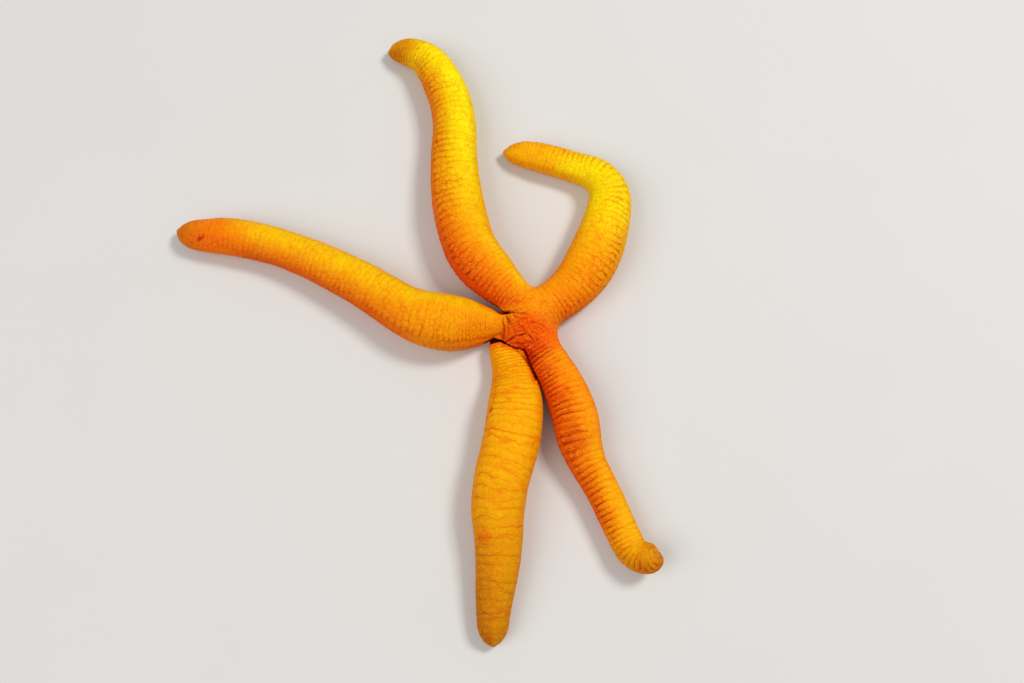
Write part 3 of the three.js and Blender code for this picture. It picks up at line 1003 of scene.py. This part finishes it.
def relief(points, fields, places):
    """The whole relief, with what the material needs to know about each point."""
    rim = Rim(points)
    fields = rim.divide(fields)
    weights = np.exp(-np.clip(fields, -1, FAR) / 0.7)
    weights /= weights.sum(0)
    main = fields.argmin(0)
    height = np.zeros(len(points))
    about = {word: np.zeros(len(points)) for word in SKIN_WORDS}
    about["lattice"] = np.zeros((len(points), 3))
    for i, arm in enumerate(arms):
        near = np.flatnonzero((weights[i] > 1e-3) | (main == i))
        tall, crack, lattice, slope = arm_relief(arm, points[near], places[i, near])
        height[near] += weights[i, near] * tall
        shares = {"crack": crack, **paint_arm(arm, points[near], places[i, near], slope)}
        for word, share in shares.items():
            about[word][near] += weights[i, near] * share
        mine = main[near] == i
        about["lattice"][near[mine]] = lattice[mine]

    wrinkle_disc(points, height, about)
    # Painted shade in and beside the gap and the notch.
    painted_rim_red = rim.paint_gap_shade(about)
    paint_disc(points, fields[numbers["arm_front"]], about)
    raise_to(about["red"], rim.near, painted_rim_red)
    # Red marks, and patches of painted shade.
    about["blotch"] = marks_and_shades(points, main)
    about["crack"] = about["crack"].clip(0, 1.5)

    # The sole is pressed flat, so there the relief only cuts inwards.
    sole = 1 - smooth_step(points[:, 2], 0.2, 2.0)
    height = np.where(height > 0, height * (1 - sole), height * (1 - 0.7 * sole))
    return height, about


# ---------------------------------------------------------------- meshes


def make_mesh(name, points, faces, attributes=None):
    """A mesh object from points in millimetres and one or more tables of faces."""
    tables = faces if isinstance(faces, list) else [faces]
    corners = np.concatenate([table.ravel() for table in tables]).astype(np.int32)
    sizes = np.concatenate([np.full(len(table), table.shape[1]) for table in tables])
    starts = np.concatenate([[0], np.cumsum(sizes)[:-1]]).astype(np.int32)
    mesh = bpy.data.meshes.new(name)
    mesh.vertices.add(len(points))
    mesh.vertices.foreach_set("co", (points * MM).astype(np.float32).ravel())
    mesh.loops.add(len(corners))
    mesh.loops.foreach_set("vertex_index", corners)
    mesh.polygons.add(len(sizes))
    mesh.polygons.foreach_set("loop_start", starts)
    mesh.update(calc_edges=True)
    mesh.validate()
    mesh.polygons.foreach_set("use_smooth", np.ones(len(sizes), bool))
    for key, values in (attributes or {}).items():
        kind, slot = ("FLOAT", "value") if values.ndim == 1 else ("FLOAT_VECTOR", "vector")
        layer = mesh.attributes.new(key, kind, "POINT")
        layer.data.foreach_set(slot, values.astype(np.float32).ravel())
    piece = bpy.data.objects.new(name, mesh)
    bpy.context.scene.collection.objects.link(piece)
    return piece


def unwrap_skin(points, quads, main):
    """A flat place for each corner: a strip for each arm, and the disc's two sides."""
    middle = points[quads].mean(1)
    disc_face = from_centre(middle) < DISC_RADIUS - 1
    main = main[quads[:, 0]]
    uv = np.zeros((len(quads), 4, 2))
    for i, arm in enumerate(arms):
        mine = np.flatnonzero((main == i) & ~disc_face)
        spots = np.concatenate([points[quads[mine]], middle[mine, None]], 1).reshape(-1, 3)
        s = arm.locate(spots, arm.nearest(spots)[0])
        ring, angle = arm.angle(spots, s)
        radius = 0.25 * (ring.width + ring.height) * (0.35 + 0.65 * ring.nose)
        s, angle, radius = (values.reshape(-1, 5) for values in (s, angle, radius))
        turned = angle[:, :4] - angle[:, 4:] + math.pi
        angle = angle[:, 4:] + turned % (2 * math.pi) - math.pi
        uv[mine, :, 0] = (i + 0.5) * STRIP + angle * radius[:, :4]
        uv[mine, :, 1] = s[:, :4]
    offset = points[quads] - CENTRE
    top = offset[:, :, 2].mean(1) > DISC_RIM
    for side, level in ((top, 40.0), (~top, 90.0)):
        mine = np.flatnonzero(disc_face & side)
        uv[mine, :, 0] = len(arms) * STRIP + 20 + offset[mine, :, 0]
        uv[mine, :, 1] = level + offset[mine, :, 1]
    whole = len(arms) * STRIP + DISC_STRIP
    uv[:, :, 1] += (whole - max(arm.total for arm in arms)) / 2
    return uv / whole


# ---------------------------------------------------------------- node materials


class Graph:
    """A material's node graph, with a short call for each kind of node."""

    def __init__(self, name):
        self.material = bpy.data.materials.new(name)
        self.material.use_nodes = True
        self.tree = self.material.node_tree
        self.shader = self.tree.nodes["Principled BSDF"]
        self.place = self.node("ShaderNodeTexCoord").outputs["Object"]

    def node(self, kind, inputs=None, **settings):
        node = self.tree.nodes.new(kind)
        for key, value in settings.items():
            setattr(node, key, value)
        for key, value in (inputs or {}).items():
            self.set(node.inputs[key], value)
        return node

    def set(self, socket, value):
        if isinstance(value, bpy.types.NodeSocket):
            self.tree.links.new(value, socket)
        else:
            socket.default_value = value

    def attribute(self, name, output="Fac"):
        return self.node("ShaderNodeAttribute", attribute_name=name).outputs[output]

    def math(self, operation, a, b=0.0, c=0.0):
        return self.node("ShaderNodeMath", {0: a, 1: b, 2: c}, operation=operation).outputs[0]

    def times(self, a, b):
        return self.math("MULTIPLY", a, b)

    def span(self, value, low, high, to_low=0.0, to_high=1.0):
        """Turns the range from low to high into another, and keeps within it."""
        inputs = {"Value": value, "From Min": low, "From Max": high}
        inputs |= {"To Min": to_low, "To Max": to_high}
        return self.node("ShaderNodeMapRange", inputs, clamp=True).outputs["Result"]

    def mix(self, share, a, b, way="MIX"):
        inputs = {0: share, 6: a, 7: b}
        return self.node("ShaderNodeMix", inputs, data_type="RGBA", blend_type=way).outputs[2]

    def noise(self, size, detail=3.0, roughness=0.55, place=None):
        inputs = {"Scale": 1 / (size * MM), "Detail": detail, "Roughness": roughness}
        inputs["Vector"] = place or self.place
        return self.node("ShaderNodeTexNoise", inputs).outputs["Fac"]

    def cells(self, size, feature="F1", place=None, randomness=1.0):
        inputs = {"Scale": 1 / (size * MM), "Vector": place or self.place}
        inputs["Randomness"] = randomness
        return self.node("ShaderNodeTexVoronoi", inputs, feature=feature).outputs["Distance"]

    def blend(self, share, a, b):
        """From value a to value b by the share."""
        return self.math("MULTIPLY_ADD", self.math("SUBTRACT", b, a), share, a)

    def bump(self, height, depth, below=None):
        inputs = {"Height": height, "Distance": depth * MM, "Strength": 1.0}
        if below:
            inputs["Normal"] = below
        return self.node("ShaderNodeBump", inputs).outputs["Normal"]

    def finish(self, **values):
        for key, value in values.items():
            self.set(self.shader.inputs[key.replace("_", " ")], value)
        return self.material


def srgb(text):
    """A linear colour from the six hexadecimal digits of a screen colour."""
    parts = [int(text[i : i + 2], 16) / 255 for i in (0, 2, 4)]
    linear = [p / 12.92 if p < 0.04045 else ((p + 0.055) / 1.055) ** 2.4 for p in parts]
    return (*linear, 1.0)


def skin_lines(g):
    """Thin lines, 1 on a line and 0 off it: those between plates, and those between rows. The
    third value says how clear the lines between rows are."""
    lattice = g.attribute("lattice", "Vector")
    folded = g.attribute("folded")
    parts = g.node("ShaderNodeSeparateXYZ", {"Vector": lattice}).outputs
    row, clear = parts["Y"], parts["Z"]
    on_arm = g.cells(1 / MM, "DISTANCE_TO_EDGE", lattice, 0.85)
    turned = {"Vector": g.place, "Rotation": (0, 0, 0.4), "Scale": (0.35, 1.0, 1.0)}
    turned = g.node("ShaderNodeMapping", turned).outputs["Vector"]
    on_disc = g.cells(1.25, "DISTANCE_TO_EDGE", turned)
    edge = g.blend(folded, on_arm, on_disc)
    broken = g.span(g.noise(2.2 / MM, 3.0, 0.6, lattice), 0.42, 0.6)
    between_plates = g.times(g.span(edge, 0.1, 0.015), g.math("MAXIMUM", broken, folded))

    stray = g.math("MULTIPLY_ADD", g.noise(1.3, 2.0, 0.6), 0.35, -0.35)
    stray = g.math("MULTIPLY_ADD", g.noise(4.5, 2.0), 0.35, stray)
    crooked = g.math("ADD", row, stray)
    away = g.math("PINGPONG", crooked, 0.5)
    finer = g.math("PINGPONG", g.math("MULTIPLY_ADD", g.noise(0.9), 0.6, crooked), 0.25)
    broken = g.span(g.noise(1.5 / MM, 3.0, 0.6, lattice), 0.38, 0.55)
    between_rows = g.times(g.span(away, 0.13, 0.02), broken)
    share = g.span(g.noise(1.1 / MM, 3.0, 0.6, lattice), 0.62, 0.45, 0.0, 0.35)
    share = g.math("MULTIPLY_ADD", clear, 0.5, share)
    fine = g.times(g.span(finer, 0.09, 0.0), share)
    off_disc = g.math("SUBTRACT", 1.0, folded)
    between_rows = g.times(g.math("MAXIMUM", between_rows, fine), off_disc)
    return between_plates, between_rows, clear


def skin_colour(g, lines, grain):
    """The skin's colour: golden arms, orange roots and ochre tips, with flanks reddened and tips
    and cracks darkened as painted shade, and the side facing the light yellowed as painted light.
    """
    crack, lee, under, warm, gold, ochre, rust, red, blotch, _ = map(g.attribute, SKIN_WORDS)
    between_plates, between_rows, clear = lines
    clouds = g.noise(8.0, 4.0)
    mottle = g.noise(2.0, 4.0, 0.65)
    fleck = g.noise(0.8, 2.0, 0.6)
    low = g.node("ShaderNodeSeparateXYZ", {"Vector": g.place}).outputs["Z"]
    plain = g.math("SUBTRACT", 1.0, g.times(gold, 0.6))

    # Each coat has its share, its colour and the way it is laid over those before it.
    coats = [
        (gold, "FEF202", "MIX"),
        (g.times(plain, g.span(clouds, 0.48, 0.68, 0.0, 0.45)), "FCA202", "MIX"),
        (g.span(clouds, 0.5, 0.32, 0.0, 0.35), "FDD004", "MIX"),
        (warm, "FC9402", "MIX"),
        # Painted shade on the side in shade and the steep flanks.
        (lee, "EE5E02", "MIX"),
        (g.times(under, 0.75), "CC4602", "MIX"),
        (red, "F86802", "MIX"),
        (rust, "F47402", "MIX"),
        # The ochre is partly painted shade, where the light falls off at the tips.
        (ochre, "B66E02", "MIX"),
        # Red marks, some of them painted shade.
        (blotch, "CE2A04", "MIX"),
        (g.span(low, 0.0004, 0.0024, 0.55, 0.0), "FCC462", "MIX"),
        # Plates and granules are yellower in the middle.
        (g.span(mottle, 0.5, 0.68, 0.0, 0.35), "FFE080", "SOFT_LIGHT"),
        (g.span(mottle, 0.5, 0.34, 0.0, 0.4), "FAC890", "MULTIPLY"),
        (g.span(fleck, 0.54, 0.7, 0.0, 0.5), "FFE080", "SOFT_LIGHT"),
        (g.span(fleck, 0.48, 0.3, 0.0, 0.4), "F6BE80", "MULTIPLY"),
        (g.times(g.span(grain, 0.55, 0.1), 0.3), "FFE880", "SOFT_LIGHT"),
        # Thin orange lines part them, and cracks are brown, darkened further as painted shade,
        # most in the gap and the notch.
        (g.times(between_plates, g.span(clear, 0.0, 0.5, 0.45, 0.8)), "F4B070", "MULTIPLY"),
        (g.times(between_rows, g.span(clear, 0.0, 0.6, 0.35, 0.75)), "F2A860", "MULTIPLY"),
        (g.times(between_rows, g.span(clear, 0.3, 1.0, 0.0, 0.8)), "D07A2C", "MULTIPLY"),
        (g.times(g.span(crack, 0.15, 1.0), 0.68), "B44E18", "MULTIPLY"),
        (g.span(crack, 1.0, 1.5), "7A2A0C", "MULTIPLY"),
    ]
    colour = srgb("FBB402")
    for share, tone, way in coats:
        colour = g.mix(share, colour, srgb(tone), way)
    return colour


def skin_material():
    g = Graph("sea_star_skin")
    between_plates, between_rows, clear = lines = skin_lines(g)
    grain = g.cells(0.62)
    normal = g.bump(between_plates, -0.04)
    normal = g.bump(g.times(between_rows, g.span(clear, 0.0, 1.0, 0.35, 1.0)), -0.14, normal)
    normal = g.bump(g.span(grain, 0.6, 0.05), 0.1, normal)
    normal = g.bump(g.noise(0.9, 2.0, 0.6), 0.16, normal)
    rough = g.span(g.noise(1.6, 3.0), 0.3, 0.7, 0.5, 0.68)
    return g.finish(
        Base_Color=skin_colour(g, lines, grain), Roughness=rough, Normal=normal,
        Subsurface_Weight=0.06, Subsurface_Scale=0.0008, Subsurface_Radius=(1.0, 0.3, 0.05),
        Specular_IOR_Level=0.06,
    )


# ---------------------------------------------------------------- skin


def make_skin():
    points, quads = smooth_body()
    _, fields, places = body_field(points)
    normals = vertex_normals(points, quads)
    height, about = relief(points, fields, places)
    uv = unwrap_skin(points, quads, fields.argmin(0))
    points = points + normals * height[:, None]
    points[:, 2] = np.maximum(points[:, 2], 0)
    skin = make_mesh("skin", points, quads, about)
    layer = skin.data.uv_layers.new(name="OFBake")
    layer.data.foreach_set("uv", uv.astype(np.float32).ravel())
    skin.data.materials.append(skin_material())
    return skin


skin = make_skin()
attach(skin, "root")
flesh = [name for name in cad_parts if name.startswith("arm_") or name == "disc"]
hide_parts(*flesh)


# ---------------------------------------------------------------- small pieces


def ring_quads(rings, sides, first=0):
    """Quads between each ring of points and the next. `first` is the first ring's start."""
    here = first + np.arange((rings - 1) * sides).reshape(-1, sides)
    there = np.roll(here, -1, 1)
    return np.stack([here, there, there + sides, here + sides], 2).reshape(-1, 4)


def rods(centres, radii, sides):
    """Round rods, each a closed body: the middles (rods, rings, 3) and radii (rods, rings)."""
    count, rings = radii.shape
    along = centres[:, -1] - centres[:, 0]
    along /= np.linalg.norm(along, axis=1, keepdims=True)
    aside = np.where(np.abs(along[:, 2:]) < 0.9, [[0.0, 0.0, 1.0]], [[1.0, 0.0, 0.0]])
    u = np.cross(along, aside)
    u /= np.linalg.norm(u, axis=1, keepdims=True)
    v = np.cross(along, u)
    turn = np.linspace(0, 2 * math.pi, sides, endpoint=False)[None, :, None]
    circle = u[:, None] * np.cos(turn) + v[:, None] * np.sin(turn)
    walls = centres[:, :, None] + radii[:, :, None, None] * circle[:, None]
    walls = walls.reshape(count, -1, 3)
    points = np.concatenate([walls, centres[:, :1], centres[:, -1:]], 1)
    here = np.arange(sides)
    there = np.roll(here, -1)
    end = (rings - 1) * sides
    caps = [
        np.stack([np.full(sides, end + sides), there, here], 1),
        np.stack([np.full(sides, end + sides + 1), end + here, end + there], 1),
    ]
    first = np.arange(count)[:, None, None] * points.shape[1]
    tables = [first + table for table in (ring_quads(rings, sides), np.concatenate(caps))]
    return points.reshape(-1, 3), [table.reshape(-1, table.shape[2]) for table in tables]


def button(rise, sink, reach, rings=24, sides=96):
    """A closed round body: its outer side z = rise(x, y), its inner side `sink` from that."""
    radius = reach * np.arange(1, rings + 1) / rings
    turn = np.linspace(0, 2 * math.pi, sides, endpoint=False)
    x = np.concatenate([[0.0], np.outer(radius, np.cos(turn)).ravel()])
    y = np.concatenate([[0.0], np.outer(radius, np.sin(turn)).ravel()])
    outer = np.column_stack([x, y, rise(x, y)])
    inner = outer + np.array([0, 0, sink])
    here = 1 + np.arange(sides)
    there = np.roll(here, -1)
    fan = np.stack([0 * here, here, there], 1)
    quads = ring_quads(rings, sides, 1)[:, [0, 3, 2, 1]]
    size = len(outer)
    edge, next_edge = here + (rings - 1) * sides, there + (rings - 1) * sides
    rim = np.stack([edge, size + edge, size + next_edge, next_edge], 1)
    triangles = np.concatenate([fan, size + fan[:, ::-1]])
    tables = [triangles, np.concatenate([quads, size + quads[:, ::-1], rim])]
    if sink > 0:
        tables = [table[:, ::-1] for table in tables]
    return np.concatenate([outer, inner]), tables


def join(parts):
    """One set of points and face tables from several."""
    points, tables, first = [], {}, 0
    for own_points, own_tables in parts:
        points.append(own_points)
        for table in own_tables:
            tables.setdefault(table.shape[1], []).append(table + first)
        first += len(own_points)
    return np.concatenate(points), [np.concatenate(table) for table in tables.values()]


def along_furrows(pitch):
    """For each side of each arm's furrow: the arm's number, the side, and at places `pitch`
    apart the rings, the furrow's half width and its depth."""
    for number, arm in enumerate(arms):
        s = np.arange(7.0, arm.total - FURROW_END - 5.0, pitch)
        ring = arm.ring(s)
        for side in (-1, 1):
            yield number, side, ring, FURROW_HALF_WIDTH * ring.width, arm.furrow_depth(ring, s)


def in_ring(ring, across, above, ahead=0.0):
    """Points at a place across the ring, above the sole and ahead of the ring."""
    sole = -0.5 * ring.height * ring.nose
    place = ring.centre + ring.left * np.reshape(across, (-1, 1))
    place = place + ring.up * np.reshape(sole + above, (-1, 1))
    return place + ring.ahead * np.reshape(ahead, (-1, 1))


def tube_feet():
    """Two rows of tube feet in each furrow, their suckers just above the floor."""
    shares = np.array([0.0, 0.35, 0.7, 0.86, 0.95, 0.99, 1.0])
    swell = np.array([1.0, 0.9, 0.8, 1.0, 1.75, 1.8, 1.2])
    rows = []
    for number, side, ring, half, depth in along_furrows(FOOT_PITCH):
        seed = 80 + 4 * number + side
        key = np.arange(len(half))
        sway, lean = (scatter(key, seed=seed + i) - 0.5 for i in (0, 1))
        top = 0.87 * depth + 0.5
        low = 0.12 + 0.25 * depth * scatter(key, seed=seed + 2) ** 2
        middles = []
        for t in shares:
            across = half * (side * (0.36 + 0.06 * t) + 0.22 * sway * t * t)
            middles.append(in_ring(ring, across, top + (low - top) * t, 0.7 * lean * t * t))
        rows.append(rods(np.stack(middles, 1), np.outer(0.13 * half, swell), 10))
    return join(rows)


def furrow_spines():
    """A comb of blunt spines along both edges of each furrow, and tufts at the jaws."""
    shares = np.array([0.0, 0.45, 0.85, 1.0])
    swell = np.array([1.0, 1.0, 0.8, 0.35])
    rows = []
    for number, side, ring, half, _ in along_furrows(SPINE_PITCH):
        stray = scatter(np.arange(len(half)), seed=120 + 2 * number + side) - 0.5
        middles = []
        for t in shares:
            across = side * half * (1.1 - 0.46 * t + 0.06 * stray)
            middles.append(in_ring(ring, across, 0.62 - 0.42 * t, 0.3 * stray * t))
        radii = np.outer(np.clip(0.085 * half, 0.12, 0.24), swell)
        rows.append(rods(np.stack(middles, 1), radii, 8))

    starts = [(arm.ring([CHANNEL_START]).centre - CENTRE)[0] for arm in arms]
    ways = np.sort([math.atan2(start[1], start[0]) for start in starts])
    between = (ways + np.append(ways[1:], ways[0] + 2 * math.pi)) / 2
    turn = (between[:, None] + np.radians([-24, 0, 24])).ravel()
    out = np.stack([np.cos(turn), np.sin(turn), 0 * turn], 1)
    middles = [CENTRE + out * (5.0 - 1.9 * t) + np.array([0, 0, 1.3 - 0.9 * t]) for t in shares]
    rows.append(rods(np.stack(middles, 1), np.outer(np.full(len(turn), 0.34), swell), 10))
    return join(rows)


def sieve_plate():
    """The sieve plate: a low dome on the disc, cut by fine winding grooves."""
    way = math.radians(SIEVE_HEADING)
    middle = CENTRE[:2] + SIEVE_DISTANCE * np.array([math.cos(way), math.sin(way)])
    steps = np.linspace(-SIEVE_RADIUS - 0.3, SIEVE_RADIUS + 0.3, 15)
    heights = np.arange(8, 20, 0.1)
    spots = np.stack(np.meshgrid(middle[0] + steps, middle[1] + steps, heights, indexing="ij"), -1)
    inside = body_field(spots.reshape(-1, 3))[0].reshape(spots.shape[:-1]) < 0
    tops = np.where(inside, heights, 0).max(-1)

    def body_top(x, y):
        """The height of the body's upper side, between those found on the steps."""
        i, j = (np.clip((way - steps[0]) / (steps[1] - steps[0]), 0, 13.999) for way in (x, y))
        a, b = i.astype(int), j.astype(int)
        u, v = i - a, j - b
        top = tops[a, b] * (1 - u) * (1 - v) + tops[a + 1, b] * u * (1 - v)
        return top + tops[a, b + 1] * (1 - u) * v + tops[a + 1, b + 1] * u * v

    def rise(x, y):
        radius = np.hypot(x, y) / SIEVE_RADIUS
        spot = np.column_stack([x, y, 0 * x])
        winding = np.sin(4.4 * (np.arctan2(y, x) * 2 + 1.2 * noise(spot, 0.7, 91)) + 3 * radius)
        groove = bell(winding, 0.45) * (1 - radius**4).clip(0)
        dome = 0.5 * (1 - radius**2).clip(0) ** 0.8 - 0.25 * radius**6
        return body_top(x, y) + dome - 0.16 * groove

    points, tables = button(rise, -1.0, SIEVE_RADIUS)
    points[:, :2] += middle
    return points, tables


def mouth_skin():
    """The soft ring round the mouth, drawn into folds, with the mouth at its middle."""

    def under(x, y):
        radius = np.hypot(x, y) / MEMBRANE_RADIUS
        folds = np.cos(20 * np.arctan2(y, x) + 2 * radius) * radius * (1.1 - radius)
        return 3.2 + 0.22 * folds + 1.4 * bell(radius, 0.22) - 0.3 * bell(radius - 0.36, 0.14)

    points, tables = button(under, 0.8, MEMBRANE_RADIUS)
    points[:, :2] += CENTRE[:2]
    return points, tables


def arm_ends():
    """At each arm's end the smooth last plate of the skeleton, and the eyespot below it."""
    plate = {"above": 0.2, "ahead": 0.0, "reach": 1.75, "eye": 0.0}
    eyespot = {"above": -1.15, "ahead": 0.95, "reach": 0.42, "eye": 1.0}
    turn = np.linspace(0.12, math.pi - 0.12, 12)
    parts, eye, ochre = [], [], []
    for arm in arms:
        tip = arm.ring([arm.total - 1.3])
        for ball in (plate, eyespot):
            middle = tip.centre + tip.up * ball["above"] + tip.ahead * ball["ahead"]
            middles = middle - ball["reach"] * np.cos(turn)[:, None] * tip.ahead
            points, tables = rods(middles[None], ball["reach"] * np.sin(turn)[None], 24)
            parts.append((points, tables))
            eye.append(np.full(len(points), ball["eye"]))
            # The tip's ochre, partly painted shade.
            ochre.append(np.full(len(points), arm.skin["ochre"][0]))
    return *join(parts), {"eye": np.concatenate(eye), "ochre": np.concatenate(ochre)}


def small_material(name, pale, deep, size, roughness, soft=0.0, eyes=None):
    """A mottled, finely pitted material between two colours. For the arms' ends it also has
    the skin's ochre, which is partly painted shade, and the colour of the eyes."""
    g = Graph(name)
    mottle = g.noise(size * 3, 4.0, 0.6)
    grain = g.cells(size)
    colour = g.mix(g.span(mottle, 0.35, 0.65), srgb(pale), srgb(deep))
    colour = g.mix(g.span(grain, 0.5, 0.1, 0.0, 0.4), colour, srgb("FFE2A0"), "SOFT_LIGHT")
    if eyes:
        # The skin's ochre, partly painted shade.
        colour = g.mix(g.attribute("ochre"), colour, srgb("B87206"))
        colour = g.mix(g.attribute("eye"), colour, srgb(eyes))
    normal = g.bump(g.span(grain, 0.0, 0.6, 1.0, 0.0), 0.05)
    normal = g.bump(g.noise(size * 1.5, 3.0), 0.06, normal)
    rough = g.span(g.noise(size * 2), 0.3, 0.7, roughness - 0.08, roughness + 0.08)
    return g.finish(
        Base_Color=colour, Roughness=rough, Normal=normal,
        Subsurface_Weight=soft, Subsurface_Scale=0.0006, Specular_IOR_Level=0.2,
    )


def add_piece(name, body, slot, material, *nodes):
    piece = make_mesh(name, *body)
    piece.data.materials.append(small_material(*material))
    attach(piece, "root")
    if nodes:
        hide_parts(*nodes)


foot_look = ("tube_foot", "FCD08A", "F2A445", 0.3, 0.45, 0.15)
spine_look = ("furrow_spine", "F9C476", "EE9A3C", 0.25, 0.6)
sieve_look = ("sieve_plate", "F87E0A", "EE6404", 0.3, 0.6)
mouth_look = ("mouth_skin", "F6B468", "E27E2C", 0.4, 0.42, 0.12)
end_look = ("arm_end", "F6A012", "EC8206", 0.35, 0.5, 0.0, "7A1206")
add_piece("tube_feet", tube_feet(), "soft_sole", foot_look)
add_piece("furrow_spines", furrow_spines(), "hard_plate", spine_look)
add_piece("sieve_plate", sieve_plate(), "hard_plate", sieve_look, "madreporite")
add_piece("mouth_skin", mouth_skin(), "soft_sole", mouth_look, "mouth_membrane")
add_piece("arm_ends", arm_ends(), "tip_skin", end_look)


# ---------------------------------------------------------------- stage, light and camera


def make_floor():
    g = Graph("pale_floor")
    pale = srgb("DCDAD6")
    darker = (*(part * 0.97 for part in pale[:3]), 1.0)
    tone = g.mix(g.noise(60.0, 2.0), pale, darker)
    half = 1500.0
    corners = [(-half, -half), (half, -half), (half, half), (-half, half)]
    points = np.array([(x, y, FLOOR_LEVEL) for x, y in corners])
    floor = make_mesh("floor", points, np.array([[0, 1, 2, 3]]))
    floor.data.materials.append(g.finish(Base_Color=tone, Roughness=0.8))


def add_light(name, place, size, power):
    """A square lamp that points at the frame's origin."""
    data = bpy.data.lights.new(name, "AREA")
    data.size = size
    data.energy = power
    light = bpy.data.objects.new(name, data)
    light.location = place
    light.rotation_euler = (-Vector(place)).to_track_quat("-Z", "Y").to_euler()
    bpy.context.scene.collection.objects.link(light)


def add_sky():
    world = bpy.data.worlds.new("studio")
    world.use_nodes = True
    background = world.node_tree.nodes["Background"]
    background.inputs["Color"].default_value = (1.0, 1.0, 1.0, 1.0)
    background.inputs["Strength"].default_value = SKY_STRENGTH
    bpy.context.scene.world = world
    bpy.context.scene.view_settings.view_transform = "Standard"


def add_camera():
    """Looks steeply down from the front, with the disc off the middle of the picture."""
    elevation = math.radians(CAMERA_ELEVATION)
    ahead = np.array([0, math.cos(elevation), -math.sin(elevation)])
    up = np.array([0, math.sin(elevation), math.cos(elevation)])
    right = np.array([1, 0, 0])
    middle = CENTRE + np.array([0, 0, 10.0])
    aim = middle + CAMERA_AIM[0] * right + CAMERA_AIM[1] * up
    data = bpy.data.cameras.new("camera")
    data.lens = 35
    data.sensor_width = 36
    camera = bpy.data.objects.new("camera", data)
    camera.location = (aim - CAMERA_DISTANCE * ahead) * MM
    camera.rotation_euler = (math.pi / 2 - elevation, 0, 0)
    bpy.context.scene.collection.objects.link(camera)
    bpy.context.scene.camera = camera


make_floor()
for name, (place, size, power) in LIGHTS.items():
    add_light(name, place, size, power)
add_sky()
add_camera()
